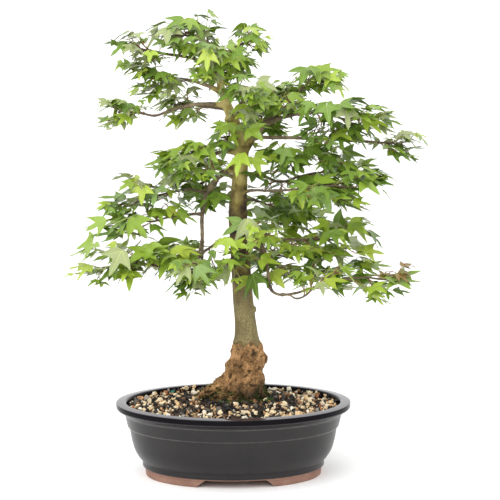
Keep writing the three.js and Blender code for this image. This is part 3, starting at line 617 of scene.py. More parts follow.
def trunkBark():
    # Young bark of a maple is thin, smooth and olive grey, with faint long streaks and pale flecks.
    # The burl at the foot is cork that has flaked to orange brown, darkened by soil and painted shade in its
    # pits, dips, low round the foot and up its right side, with large patches of painted shade, and an olive
    # edge.
    bark = {
        # size in mm and detail of each pattern
        "noises": {
            "blotches": (14, 5), "stains": (24, 4), "flecks": (1.6, 3), "patches": (15, 4), "grain": (0.9, 3),
        },
        "streak": (5, 5, 60), "streakDetail": 4, "grainStrength": 0.5, "grainDepth": 0.35,
        # heights in metres between which the bark of the middle and of the top begins
        "climbs": {"middle": (0.215, 0.265), "top": (0.355, 0.385)},
        "tones": {
            "smooth": ("flecks", [(0.3, "#665a3a"), (0.5, "#82764d"), (0.7, "#9a8e68")]),
            "stained": ("stains", [(0.42, "#000000"), (0.6, "#c8c8c8")]),
            "olive": (
                "blotches", [(0.3, "#261a0f"), (0.45, "#43341d"), (0.58, "#63562a"), (0.72, "#85793c")],
            ),
            "pale": ("blotches", [(0.32, "#52451f"), (0.48, "#958848"), (0.62, "#b6a868")]),
            "streaked": ("streaks", [(0.52, "#000000"), (0.7, "#808080")]),
            "cork": ("flecks", [(0.3, "#855c34"), (0.5, "#ad8253"), (0.7, "#cba676")]),
            # painted shade: a darker brown that lies over the cork in large patches
            "shaded": ("flecks", [(0.3, "#4a3319"), (0.5, "#6e4e2a"), (0.7, "#8e6b40")]),
            "shadePatches": ("patches", [(0.4, "#000000"), (0.6, "#ffffff")]),
            "border": ("burl", [(0, "#000000"), (0.45, "#c0c0c0"), (0.98, "#000000")]),
        },
        # each coat's name, its share, what it lies on and its own tone
        "coats": [
            ("young", "stained", "smooth", "#564729"), ("young", "middle", "young", "olive"),
            ("young", "top", "young", "pale"), ("young", "streaked", "young", "#3f371f"),
            # the cork coat takes the darker brown in large patches of painted shade
            ("damp", "shadePatches", "cork", "shaded"), ("skin", "burl", "young", "damp"),
            # the last coat lays near-black #26180b where soil lies and where shade is painted
            ("skin", "border", "skin", "#4a4323"), ("skin", "pits", "skin", "#26180b"),
        ],
    }
    material, tree, shader = newMaterial("maple bark", {"Roughness": 0.82, "IOR": 1.45})
    place = addNode(tree, "TexCoord", "Object")
    height = addNode(tree, "SeparateXYZ", "Z", links={"Vector": place})
    parts = {key: addNode(tree, "Attribute", "Fac", {"attribute_name": key}) for key in ("burl", "pits")}
    stretch = {"Scale": [perMetre(size) for size in bark["streak"]]}
    long = addNode(tree, "Mapping", "Vector", stretch, {"Vector": place})
    streaks = {"Scale": 1, "Detail": bark["streakDetail"]}
    parts["streaks"] = addNode(tree, "TexNoise", "Fac", streaks, {"Vector": long})
    for key, (size, detail) in bark["noises"].items():
        pattern = {"Scale": perMetre(size), "Detail": detail}
        parts[key] = addNode(tree, "TexNoise", "Fac", pattern, {"Vector": place})
    for key, (low, high) in bark["climbs"].items():
        climb = {"From Min": low, "From Max": high}
        parts[key] = addNode(tree, "MapRange", "Result", climb, {"Value": height})
    for key, (pattern, stops) in bark["tones"].items():
        parts[key] = addNode(tree, "ValToRGB", "Color", {"stops": stops}, {"Fac": parts[pattern]})
    for key, share, under, over in bark["coats"]:
        settings, links = {"data_type": "RGBA"}, {0: parts[share], 6: parts[under]}
        if over in parts:
            links[7] = parts[over]
        else:
            settings[7] = over
        parts[key] = addNode(tree, "Mix", 2, settings, links)
    tree.links.new(parts["skin"], shader.inputs["Base Color"])
    bump = {"Strength": bark["grainStrength"], "Distance": bark["grainDepth"] * millimetre}
    relief = addNode(tree, "Bump", "Normal", bump, {"Height": parts["grain"]})
    tree.links.new(relief, shader.inputs["Normal"])
    return material


def makeTrunk():
    wood = Pile()
    steps = trunk["steps"]
    radii = [stations(i / steps).w for i in range(steps + 1)]
    wood.add(*tube(alongCurve(curves["trunk"], steps), radii, trunk["sides"], trunkSwell))
    for root in trunk["roots"]:
        turn, _, _, girth, tip = root
        steps = trunk["rootSteps"]
        line = crooked(rootCurve(*root), steps, trunk["rootCrook"], trunk["rootWave"], turn)
        radii = [lerp(girth, tip, i / steps) for i in range(steps + 1)]
        wood.add(*tube(line, radii, trunk["rootSides"]))
    for height, turn, radius in trunk["burrs"]:
        share = trunkShare(height)
        place = curves["trunk"](share) + heading(turn) * stations(share).w * trunk["burrPlace"]
        steps = trunk["burrSteps"]
        levels = [math.cos(math.pi * i / steps) for i in range(steps + 1)]
        ball = [place - up * level * radius for level in levels]
        radii = [radius * math.sqrt(1.001 - level * level) for level in levels]  # never quite 0 at its ends
        wood.add(*tube(ball, radii, trunk["burrSides"]))
    for name, (on, at, *_, girth) in boughs.items():
        if on == "trunk":  # a collar swells where the bough leaves
            steps = boughForm["collarSteps"]
            reach = stations(trunkShare(at)).w + boughForm["collarReach"]
            end = min(reach / lengthOf(curves[name]), boughForm["collarMost"])
            line = [curves[name](end * i / steps) for i in range(steps + 1)]
            fades = [math.exp(-reach * i / steps / boughForm["collarLength"] / 2) for i in range(steps + 1)]
            swells = [boughForm["collarGirth"] + boughForm["collarSwell"] * fade for fade in fades]
            wood.add(*tube(line, [girth[0] * swell for swell in swells], boughForm["collarSides"]))
    piece = wood.make("trunk_bark", [trunkBark()])
    reshaped(
        piece, ("REMESH", {"mode": "VOXEL", "voxel_size": trunk["voxel"] * millimetre}),
        ("SMOOTH", {"factor": 0.5, "iterations": trunk["smoothing"]}),
    )
    corners = placesOf(piece)
    normals = np.empty(corners.size, dtype=np.float32)
    piece.data.vertex_normals.foreach_get("vector", normals)
    normals = normals.reshape(-1, 3)
    reliefs, burls, pits = zip(*[barkRelief(Vector(corner)) for corner in corners])
    corners += normals * np.array(reliefs)[:, None]
    movePlaces(piece, corners)
    for key, values in (("burl", burls), ("pits", pits)):
        layer = piece.data.attributes.new(key, "FLOAT", "POINT")
        layer.data.foreach_set("value", np.array(values, dtype=np.float32))
    piece.data.polygons.foreach_set("use_smooth", np.full(len(piece.data.polygons), True))
    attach(piece, "root")
    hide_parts("trunk")
    print("trunk:", len(piece.data.polygons), "faces")
    low = corners[:, 2] < trunk["mossTop"]
    return [(Vector(place), Vector(way)) for place, way in zip(corners[low], normals[low])]


footSkin = makeTrunk()


def boughBark():
    # Smooth thin bark of grey brown, darker and almost black in places, with pale flecks.
    return mottled(
        "bough bark", {"Roughness": 0.75, "IOR": 1.45},
        clouds={"size": 18, "detail": 4, "tones": [(0.3, "#382e22"), (0.5, "#655740"), (0.7, "#8c7c5e")]},
        flecks={"size": 1.4, "detail": 1, "between": (0.6, 0.7), "share": 0.5, "tone": "#9c8f76"},
        grain={"size": 1, "detail": 3, "strength": 0.5, "depth": 0.25},
    )[0]


def knottyRadii(places, first, last, seed):  # tapering, swollen at each leaf scar, a little uneven
    radii, gone = [], 0
    for i, place in enumerate(places):
        gone += (place - places[i - 1]).length if i else 0
        fromNode = abs((gone + seed * 5) % boughForm["nodeStep"] - boughForm["nodeStep"] / 2)
        swell = boughForm["nodeSwell"] * math.exp(-((fromNode / boughForm["nodeWidth"]) ** 2))
        uneven = boughForm["roughness"] * noise.noise(place / boughForm["roughWave"])
        radii.append(lerp(first, last, i / (len(places) - 1)) * (1 + swell + uneven))
    return radii


def makeBoughs():
    wood = Pile()
    step = boughForm["step"]
    for seed, (name, (on, *_, girth)) in enumerate(boughs.items()):
        steps = round(lengthOf(curves[name]) / step)
        places = crooked(curves[name], steps, boughForm["crook"], boughForm["crookWave"], seed)
        radii = knottyRadii(places, *girth, seed)
        if on != "trunk":  # swells where it leaves its carrier
            clear = [max(i * step - girths[on][0], 0) for i in range(len(radii))]
            swells = [boughForm["forkSwell"] * math.exp(-away / boughForm["forkLength"]) for away in clear]
            radii = [radius * (1 + swell) for radius, swell in zip(radii, swells)]
        wood.add(*tube(places, radii, boughForm["sides"]))
    piece = wood.make("bough_bark", [boughBark()])
    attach(piece, "root")
    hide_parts(*["bough_" + name for name in boughs])
    print("boughs:", len(piece.data.polygons), "faces")


makeBoughs()


# Gravel: grains dealt out over the heap, on dark soil.
gravel = {
    "atWall": 89.5, "flat": 98, "slope": 0.48, "edge": 137, "lump": 1.3, "waves": (0.15, 0.18), "seat": 12,
    "mound": {"x": -62, "y": 80, "reach": 34, "height": 3},
    "seed": 21, "jitter": 0.4, "rowPitch": 0.87, "smallness": 1.6,
    "layers": [
        # the lower layer is dealt dark stones more often: painted shade between the stones above it
        {"spacing": 4.6, "sink": 2.3, "size": (3.2, 6), "keep": 1, "darker": 0.2},
        {"spacing": 6.2, "sink": -0.7, "size": (3.4, 10.5), "keep": 0.6, "darker": 0},
    ],
    # at the wall of the pot and at the wood: how far stones are heaped up, kept off and let in
    "atWallLift": 4.2, "wallRise": (0.82, 0.95), "edgeGap": 0.45, "intoWood": 1.5,
    "shapes": 18, "cornersEach": 11, "radii": (0.42, 0.56), "flatness": [(0.7, 1), (0.55, 0.9)],
    "tints": {
        "#e8d4ae": 23, "#dab98a": 17, "#c9996c": 9, "#8b6543": 5, "#f3ead6": 10, "#a39c8e": 6,
        "#5e5850": 6, "#26221f": 9, "#171411": 9, "#3f2e22": 8, "#a96c42": 2.5, "#2a7262": 1,
    },
    # darker stones and bare soil lie in patches of this size, where a pattern is over a limit, and
    # round the foot of the trunk; the lower layer takes dark stones more often, as painted shade between
    # stones
    "darkTints": ("#8b6543", "#5e5850", "#26221f", "#171411", "#3f2e22"), "fewerDark": 0.6, "patch": 20,
    "darkFrom": 0.12, "darkAtFoot": 0.5, "footReach": (16, 40),
}


def ovalReach(x, y):  # half length of the pot's oval that passes through a place
    reach = math.hypot(x, y)
    for _ in range(8):
        reach = math.hypot(x, y / float(narrowing(reach)))
    return reach


def awayFromRoots(x, y):
    foot = curves["trunk"](0)
    place = Vector((x - foot.x, y - foot.y, 0))
    return min(
        (place - heading(turn) * min(max(place @ heading(turn), 0), reach)).length
        for turn, reach, *_ in trunk["roots"]
    )


def heapHeight(x, y):  # of the gravel, in lumps and hollows, flat under the roots, as in its solid
    rise = smoothStep(1 - ovalReach(x, y) / gravel["edge"], 0, gravel["slope"])
    seat, mound = gravel["seat"], gravel["mound"]
    bare = smoothStep(awayFromRoots(x, y), seat, 2 * seat)
    wave = math.sin(x * gravel["waves"][0]) * math.cos(y * gravel["waves"][1])
    away = math.hypot(x - mound["x"], y - mound["y"]) / mound["reach"]
    piled = mound["height"] * (1 - smoothStep(away, 0, 1))
    return lerp(gravel["atWall"], gravel["flat"], rise) - gravel["lump"] * bare * (1 - wave) + piled


def stoneShapes(random):  # crushed stone: hulls of a few corners on an uneven ball
    shapes = []
    for _ in range(gravel["shapes"]):
        rough = bmesh.new()
        for _ in range(gravel["cornersEach"]):
            out = Vector([random.gauss(0, 1) for _ in range(3)]).normalized()
            rough.verts.new(out * random.uniform(*gravel["radii"]))
        bmesh.ops.convex_hull(rough, input=rough.verts)
        loose = [corner for corner in rough.verts if not corner.link_faces]
        bmesh.ops.delete(rough, geom=loose, context="VERTS")
        bmesh.ops.triangulate(rough, faces=rough.faces)
        bmesh.ops.recalc_face_normals(rough, faces=rough.faces)
        rough.verts.index_update()
        corners = np.array([corner.co[:] for corner in rough.verts])
        shapes.append((corners, np.array([[v.index for v in face.verts] for face in rough.faces])))
        rough.free()
    return shapes


def makeGravel():
    random = Random(gravel["seed"])
    jitter = gravel["jitter"]
    shapes = stoneShapes(random)
    weights = list(gravel["tints"].values())
    dark = [weight * (tint in gravel["darkTints"]) for tint, weight in gravel["tints"].items()]
    pale = [weight - gravel["fewerDark"] * less for weight, less in zip(weights, dark)]
    stones = Pile()
    for layer in gravel["layers"]:
        step = layer["spacing"]
        count = int(gravel["edge"] / step)
        for row, column in product(range(-count, count + 1), repeat=2):
            x = (column + 0.5 * (row % 2) + random.uniform(-jitter, jitter)) * step
            y = (row * gravel["rowPitch"] + random.uniform(-jitter, jitter)) * step
            size = lerp(*layer["size"], random.random() ** gravel["smallness"])
            turn = Quaternion([random.gauss(0, 1) for _ in range(4)]).normalized().to_matrix()
            lift, chance, kind, flat = [random.random() for _ in range(4)]
            patch = noise.noise(Vector((x, y, 0)) / gravel["patch"]) + random.uniform(-jitter, jitter)
            nearFoot = 1 - smoothStep(awayFromRoots(x, y), *gravel["footReach"])
            # the layer's share is painted shade between stones; the foot's share is soil
            patch += layer["darker"] + gravel["darkAtFoot"] * nearFoot
            chances = dark if patch > gravel["darkFrom"] else pale
            tint = random.choices(range(len(chances)), chances)[0]
            edge = gravel["edge"] - size * gravel["edgeGap"]
            share = math.hypot(x / edge, y / (edge - pot["offset"]))
            heaped = gravel["atWallLift"] * smoothStep(share, *gravel["wallRise"]) - layer["sink"]
            place = Vector((x, y, heapHeight(x, y) + heaped + lift - 0.5))
            if share > 1 or chance > layer["keep"] or not clearOfWood(place, -gravel["intoWood"]):
                continue
            corners, triangles = shapes[int(kind * len(shapes))]
            corners = corners * (np.array((1, *[lerp(*span, flat) for span in gravel["flatness"]])) * size)
            stones.add(corners @ np.array(turn).T + np.array(place), triangles, tint)
    finishes = plainFinishes("crushed stone", enumerate(gravel["tints"]), {"Roughness": 0.8})
    piece = stones.make("gravel_grains", finishes, smooth=False)
    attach(piece, "root")
    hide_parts("gravel")
    print("gravel:", len(piece.data.polygons), "faces")


def pottingSoil():
    # Crumbly dark humus between the stones, almost black: partly its own colour, partly painted shade in the
    # gaps between stones.
    crumbs = {"size": 2.2, "detail": 4}
    return mottled(
        "potting soil", {"Roughness": 0.95},
        clouds={**crumbs, "tones": [(0.35, "#17120d"), (0.7, "#3b2d20")]},
        grain={**crumbs, "strength": 0.8, "depth": 1.2},
    )[0]


# Soil: half length and height of its underside and wall, and the rings of its top under the gravel, as
# shares of the gravel's reach.
soil = {
    "sunk": 3.2, "wall": [(107, 18.4), (117, 24.6), (129, 50.4)], "reach": 136.4,
    "rings": [0.96, 0.9, 0.82, 0.74, 0.66, 0.58, 0.5, 0.4, 0.3, 0.2, 0.1, 0.05],
}


def makeSoil():
    top = gravel["atWall"] - soil["sunk"]
    line = [*soil["wall"], (soil["reach"], top)]
    onWall = len(line) * pot["segments"]
    line += [(share * gravel["edge"], top) for share in soil["rings"]]
    corners, triangles = ovalTurned(line, soil["wall"][0][1], top)
    for corner in [*corners[onWall:-2], corners[-1]]:
        corner[2] = heapHeight(corner[0], corner[1]) - soil["sunk"]
    piece = meshObject("soil", corners, triangles, [pottingSoil()])
    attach(piece, "root")
    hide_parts("gravel")
    print("soil:", len(piece.data.polygons), "faces")


# Moss: short tufts round the foot of the trunk.
moss = {
    "clumps": [  # turn and reach from the foot of the trunk, spread, tufts, tint
        (325, 36, 8, 34, 0), (345, 30, 6, 26, 1), (268, 29, 9, 34, 1), (200, 36, 9, 40, 1),
        (182, 30, 7, 24, 0), (60, 36, 9, 26, 1), (140, 34, 9, 24, 1), (240, 36, 6, 14, 0),
    ],
    "spread": 0.6, "seat": (-0.5, 0.9), "ownTint": 0.75,
    "blades": 14, "length": (1.6, 3.8), "width": 0.55, "splay": (0.2, 1.2), "seed": 5,
    "tints": ["#46691b", "#2c3b10", "#6f6727", "#1d150b"],
    # on bark it climbs in patches, and how often each tint comes depends on how thick it grows
    "onBark": 6400, "barkBlades": 5, "barkPatch": 9, "barkClimb": (3, 26), "barkLean": 1.5,
    "climbShare": 0.7, "thickFrom": 0.05, "thick": (1, 5, 7, 5), "thin": (0.5, 4, 1, 13),
}


def makeMoss():
    random = Random(moss["seed"])
    tufts = Pile()

    def addTuft(seat, lean, count, tint):
        for _ in range(count):
            way = (heading(random.uniform(0, 360)) * random.uniform(*moss["splay"]) + lean).normalized()
            side = way.cross(heading(random.uniform(0, 360))).normalized() * moss["width"] / 2
            tip = seat + way * random.uniform(*moss["length"])
            low = seat + Vector((random.uniform(-1, 1), random.uniform(-1, 1), 0))
            tufts.add(np.array([low - side, low + side, tip]), np.array([[0, 1, 2]]), tint)

    for place, way in random.sample(footSkin, moss["onBark"]):
        patch = noise.noise(place / moss["barkPatch"])
        if place.z - trunk["foot"] < random.uniform(*moss["barkClimb"]) * (moss["climbShare"] + patch):
            chances = moss["thick"] if patch > moss["thickFrom"] else moss["thin"]
            tint = random.choices(range(len(chances)), chances)[0]
            addTuft(place, way * moss["barkLean"], moss["barkBlades"], tint)
    foot = curves["trunk"](0)
    for turn, reach, spread, count, tint in moss["clumps"]:
        for _ in range(count):
            away = Vector((random.gauss(0, spread), random.gauss(0, spread), 0)) * moss["spread"]
            seat = foot + (heading(turn) * reach + away)
            seat.z = heapHeight(seat.x, seat.y) + random.uniform(*moss["seat"])
            addTuft(seat, up, moss["blades"], tint if random.random() < moss["ownTint"] else 1 - tint)
    piece = tufts.make("moss", plainFinishes("moss", enumerate(moss["tints"]), {"Roughness": 0.7}))
    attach(piece, "root")
    print("moss:", len(piece.data.polygons), "faces")


makeGravel()
makeSoil()
makeMoss()

# Leaf masses: carrier, place on it, turn, reach and rise to the middle of an oval space, its size and
# its number of twigs, as in the solids.
masses = {
    "crown_top": ("trunk", 548, 188, 32, 16, (111, 92, 64), 12),
    "top_left": ("top_left", 1, 191, 32, 6, (92, 74, 54), 9),
    "apex_right": ("apex_right", 1, 359, 13, 4, (64, 62, 46), 6),
    "top_front": ("trunk", 516, 259, 49, 14, (84, 76, 60), 8),
    "top_back": ("trunk", 521, 79, 57, 3, (94, 90, 60), 9),
    "upper_left": ("upper_left", 1, 177, 46, 2, (113, 84, 68), 10),
    "upper_right": ("fork_right", 1, 8, 33, 33, (146, 92, 82), 14),
    "right_tip": ("right_reach", 1, 325, 50, -11, (146, 96, 76), 13),
    "upper_front": ("trunk", 468, 288, 61, 22, (82, 80, 67), 8),
    "upper_back": ("back_top", 1, 43, 45, -9, (103, 96, 84), 11),
    "far_right": ("long_right", 1, 4, 26, -3, (80, 64, 54), 7),
    "finger_left": ("finger_left", 1, 186, 48, 1, (91, 78, 55), 8),
    "finger_back": ("trunk", 474, 135, 82, 2, (86, 90, 58), 7),
    "mid_left": ("mid_left", 1, 185, 38, -14, (120, 88, 66), 12),
    "mid_right": ("mid_right", 1, 356, 51, 8, (194, 98, 88), 13),
    "mid_right_front": ("cross_front", 1, 342, 100, 5, (152, 84, 62), 12),
    "mid_left_back": ("back_left", 1, 130, 44, -14, (111, 96, 84), 12),
    "mid_right_back": ("back_right", 1, 40, 58, -22, (134, 100, 72), 11),
    "side_left": ("side_left", 1, 188, 27, -1, (146, 80, 54), 9),
    "side_left_top": ("side_top", 1, 180, 51, -12, (142, 86, 66), 11),
    "front_low": ("trunk", 308, 293, 72, 11, (75, 68, 48), 7),
    "low_left": ("strut_left", 1, 187, 89, -4, (186, 92, 68), 15),
    "low_left_front": ("strut_front", 1, 246, 35, -24, (70, 66, 68), 8),
    "low_left_back": ("back_low_left", 1, 139, 38, -27, (119, 92, 74), 11),
    "low_right": ("spur_right", 1, 0, 61, -3, (164, 88, 64), 13),
    "low_right_back": ("dark_right", 1, 5, 78, 7, (128, 88, 72), 11),
    "low_right_tip": ("run_right", 1, 5, 64, -2, (103, 76, 62), 8),
    "low_right_front": ("run_front", 1, 340, 41, 25, (98, 74, 50), 8),
    "low_back": ("back_low", 1, 50, 50, -13, (137, 100, 84), 10),
    "front_twigs": ("trunk", 290, 255, 60, -7, (63, 56, 73), 6),
    "neck_left": ("trunk", 436, 222, 28, 2, (58, 54, 58), 6),
}
# Young shoots on the bare trunk: height, turn, reach and rise.
trunkShoots = [
    (446, 262, 24, 4), (410, 285, 22, 3), (388, 328, 30, 4), (330, 303, 28, 0),
    (288, 284, 30, -2), (262, 318, 26, -2), (420, 95, 26, 4), (362, 150, 24, 3),
    (338, 60, 26, 2), (268, 100, 24, 0),
]
# Masses whose twigs are closer together or further apart than the rest.
fullness = {
    "mid_right": 1.25, "mid_right_front": 1.35, "front_low": 0.7, "front_twigs": 0.7, "low_right": 0.9,
    "low_right_back": 0.8, "low_right_front": 0.85, "finger_left": 0.8, "low_left": 0.92,
}
goldenAngle = math.pi * (3 - math.sqrt(5))
goldenShare = (math.sqrt(5) - 1) / 2
growth = {
    "seed": 7, "leafSeed": 100, "more": (1.15, 1.7), "nearer": 0.75, "limit": 1.1,
    # stems and the forks on them, as in the solids
    "stemTip": 1.2, "stemStep": 2.5, "stemWave": 19.5, "stemSides": 8, "overrun": 0.2, "lift": 0.06,
    "forks": 10, "pathCost": 0.35, "turnCost": 18,
    "margin": (18, 20, 9), "innerLeast": 0.35, "flatness": 0.6,
    # twigs
    "twigGirth": 1.3, "twigShare": 0.75, "twigFork": 0.35, "twigTip": 0.55, "taper": 0.8, "uneven": 0.12,
    "carry": 0.16, "crook": 1.6, "crookWave": 13, "crookSeed": 3, "step": 4, "sides": 6,
    "firstNode": 0.25, "nodeStep": 11, "nearTip": 0.98, "endTurn": 20, "mainTint": 0.72,
    # side shoots
    "shootShare": 0.55, "shootLength": (10, 28), "shootTurn": (38, 70), "shootRise": (-0.15, 0.2),
    "shootBend": 0.12, "shootGirth": (0.7, 0.45), "shootStep": 6, "shootSides": 5, "shootGap": 3,
    "shootFoot": 0.8, "shootMiddle": 0.8, "shootSpace": (46, 46, 40),  # of those on the bare trunk
    # buds: reach and girth at each station, as shares of their size
    "budSize": 0.9, "budLean": 0.6, "budSides": 5,
    "bud": [(-0.3, 0.5), (0.6, 0.62), (1.2, 0.45), (2, 0.08)],
}
leaf = {
    "lengths": (35, 24.5), "heights": (230, 560), "spread": 0.3, "young": 0.2, "youngSize": 0.55,
    "stalk": (0.25, 0.7), "stalkRise": (-0.1, 0.4), "stalkArch": (0.55, 0.03), "stalkInto": 0.05,
    "stalkRadius": 0.45, "stalkGirths": (1.3, 1, 1, 0.7), "stalkSides": 3, "redStalks": 0.3,
    "turn": (28, 82), "follow": 0.7, "droop": (20, 8), "droopSpread": 14, "roll": 22,
    "middle": (10, 5), "outer": (60, 190),  # the crown's middle, and how far from it the outer leaves are
    "hanging": 0.16, "hangingDroop": 34,
    "turning": Vector((225, -20, 262)), "turningReach": 18,  # one twig has turned bronze
    # leaves turn their faces to the window that they grew at: its side, how far they lean to it, waver
    "sunward": Vector((-0.3, -0.95, 0)), "lean": (-0.1, 0.7), "outerLean": 0.5, "waver": 0.3,
    "tries": [(0, 1), (28, 0.92), (-28, 0.92), (0, 0.72)],
    "layering": 1.7, "crowding": 0.5, "cell": 24, "woodGap": 1.5, "bladeMiddle": 0.45,
    "bend": (0, 0.2), "flare": (-0.1, 0.22), "twist": 0.25, "fold": 0.25,
    "ripple": 0.015, "rippleWaves": (13, 9, 7),
    # half of the blade's edge, from its root to its tip, for a blade of length 1
    "edge": [
        (0, 0), (0.1, -0.02), (0.24, 0.03), (0.38, 0.17), (0.51, 0.36), (0.66, 0.62), (0.46, 0.5),
        (0.3, 0.445), (0.18, 0.44), (0.165, 0.56), (0.125, 0.72), (0.06, 0.88), (0, 1),
    ],
    "veins": [
        [(0, 0.005), (0, 0.22), (0, 0.45), (0, 0.7), (0, 0.94)],
        [(0.01, 0.03), (0.19, 0.2), (0.36, 0.36), (0.56, 0.53)],
    ],
    "veinWidth": (0.022, 0.006), "inner": [(0.1, 0.27), (0.25, 0.12), (0.09, 0.56), (0.4, 0.42), (0.05, 0.8)],
    # breadth, how far the side lobes lean forward, and how deep the bays between lobes are
    "shapes": [
        (1, -0.5, 0.95), (0.9, -0.25, 0.85), (1.05, -0.4, 1), (0.95, -0.05, 0.75), (0.8, 0.2, 0.82),
    ],
    "bays": (0.15, 0.35), "baysFrom": 0.43,
    "tints": {
        "fresh": "#97b037", "mid": "#809c31", "deep": "#69872b", "dark": "#547024", "grey": "#929d6a",
        "blue": "#728e45", "yellow": "#9cb03c", "lime": "#a8bb4a", "bronze": "#86683c",
        "vein": "#adbb63", "darkVein": "#8ca250", "stalk": "#a8ad60", "redStalk": "#a06a50",
    },
    "darker": ("deep", "dark", "blue", "mid"),  # these have the dark veins
    # how often each tint comes, and what changes in the part of the crown between two corners: greyer
    # high on the left, paler low in front, deeper high on the right
    "chances": {
        "fresh": 22, "mid": 30, "deep": 18, "dark": 9, "grey": 9, "blue": 7, "yellow": 5, "lime": 1,
    },
    "parts": [
        ((-999, -999, 330), (-10, 999, 999), {"grey": 28, "fresh": 16, "yellow": 4, "lime": 0}),
        ((-999, -999, 0), (999, 10, 330), {"fresh": 32, "yellow": 12, "lime": 4, "deep": 11, "dark": 3}),
        ((25, -999, 340), (999, 999, 999),
         {"fresh": 17, "deep": 28, "dark": 12, "grey": 4, "yellow": 3, "lime": 0}),
    ],
    "shade": (8, 5, 55), "inShade": {"dark": 20, "deep": 24, "grey": 2},  # round the trunk: x, y and reach
}
leafFinishes = list(leaf["tints"])


def spaceOf(on, at, turn, reach, rise, size, _):
    return rootOf(on, at)[0] + heading(turn) * reach + up * rise, Vector(size) / 2


def depthIn(space, place):  # 0 in the middle of a mass's space, 1 at its edge
    centre, half = space
    return Vector([a / h for a, h in zip(place - centre, half)]).length


def twigEnds(space, count, phase):  # spread like sunflower seeds over the plan, at mixed heights
    centre, half = space
    inner = [max(h - margin, h * growth["innerLeast"]) for h, margin in zip(half, growth["margin"])]
    ends = []
    for k in range(count):
        share = math.sqrt((k + 0.5) / count)
        angle = (k + phase) * goldenAngle
        level = 2 * ((k * goldenShare + phase) % 1) - 1
        height = level * math.sqrt(1 - growth["flatness"] * share * share)
        away = (share * math.cos(angle) * inner[0], share * math.sin(angle) * inner[1], height * inner[2])
        ends.append(centre + Vector(away))
    return ends


def polyline(places):
    last = len(places) - 1

    def place(share):
        i = min(int(share * last), last - 1)
        return places[i].lerp(places[i + 1], share * last - i)

    return place


def stripOutline(line, widths):  # a narrow outline along a line of points, tapering from root to tip
    left, right = [], []
    for i, point in enumerate(line):
        ahead = Vector(line[min(i + 1, len(line) - 1)]) - Vector(line[max(i - 1, 0)])
        side = Vector((-ahead.y, ahead.x)).normalized() * lerp(*widths, i / (len(line) - 1)) / 2
        left.append(Vector(point) + side)
        right.append(Vector(point) - side)
    return left[::-1] + right


def leafShape(breadth, forward, bays):  # flat blade of length 1: corners, triangles, which are vein, folds
    def shaped(point):
        x, y = point
        low, high = leaf["bays"]
        pull = bays if low < abs(x) < high and y > leaf["baysFrom"] else 1
        return Vector((x * breadth * pull, y + forward * abs(x) ** 1.5))

    half = [shaped(point) for point in leaf["edge"]]
    outline = half + [Vector((-p.x, p.y)) for p in half[-2:0:-1]]
    veins = [[shaped(point) for point in line] for line in leaf["veins"]]
    veins.append([Vector((-p.x, p.y)) for p in veins[1]])
    points, faces = [], []
    for ring in [outline] + [stripOutline(line, leaf["veinWidth"]) for line in veins]:
        faces.append(list(range(len(points), len(points) + len(ring))))
        points += ring
    for x, y in leaf["inner"]:
        points += [shaped((x, y)), shaped((-x, y))]
    corners, _, triangles, _, _, origins = delaunay_2d_cdt(points, [], faces, 1, 1e-6)
    flat = np.array([corner[:] for corner in corners])
    triangles = np.array(triangles)
    a, b, c = (flat[triangles[:, k]] for k in range(3))
    turnedOver = np.cross(b - a, c - a) < 0
    triangles[turnedOver] = triangles[turnedOver][:, ::-1]
    isVein = np.array([any(origin > 0 for origin in faceOrigins) for faceOrigins in origins])
    away = np.full(len(flat), np.inf)
    for line in veins:
        for start, end in zip(line, line[1:]):
            span = np.array(end - start)
            share = np.clip((flat - np.array(start)) @ span / (span @ span), 0, 1)
            nearest = np.array(start) + share[:, None] * span
            away = np.minimum(away, np.linalg.norm(flat - nearest, axis=1))
    return flat, triangles, isVein, away


leafShapes = [leafShape(*shape) for shape in leaf["shapes"]]
takenSpots = {}


def hasRoom(middle, length):  # leaves lie closer above each other than beside
    spot = Vector((middle.x, middle.y, middle.z * leaf["layering"]))
    keys = [int(part // leaf["cell"]) for part in spot]
    for near in product(*[(key - 1, key, key + 1) for key in keys]):
        for other, reach in takenSpots.get(near, ()):
            if (other - spot).length < leaf["crowding"] * (reach + length) / 2:
                return False
    takenSpots.setdefault(tuple(keys), []).append((spot, length))
    return True


def sprayTint(place, random):
    if (place - leaf["turning"]).length < leaf["turningReach"]:
        return "bronze"
    chances = dict(leaf["chances"])
    for low, high, changes in leaf["parts"]:
        if all(a < b < c for a, b, c in zip(low, place, high)):
            chances.update(changes)
    x, y, reach = leaf["shade"]
    if math.hypot(place.x - x, place.y - y) < reach:
        chances.update(leaf["inShade"])
    return random.choices(list(chances), list(chances.values()))[0]


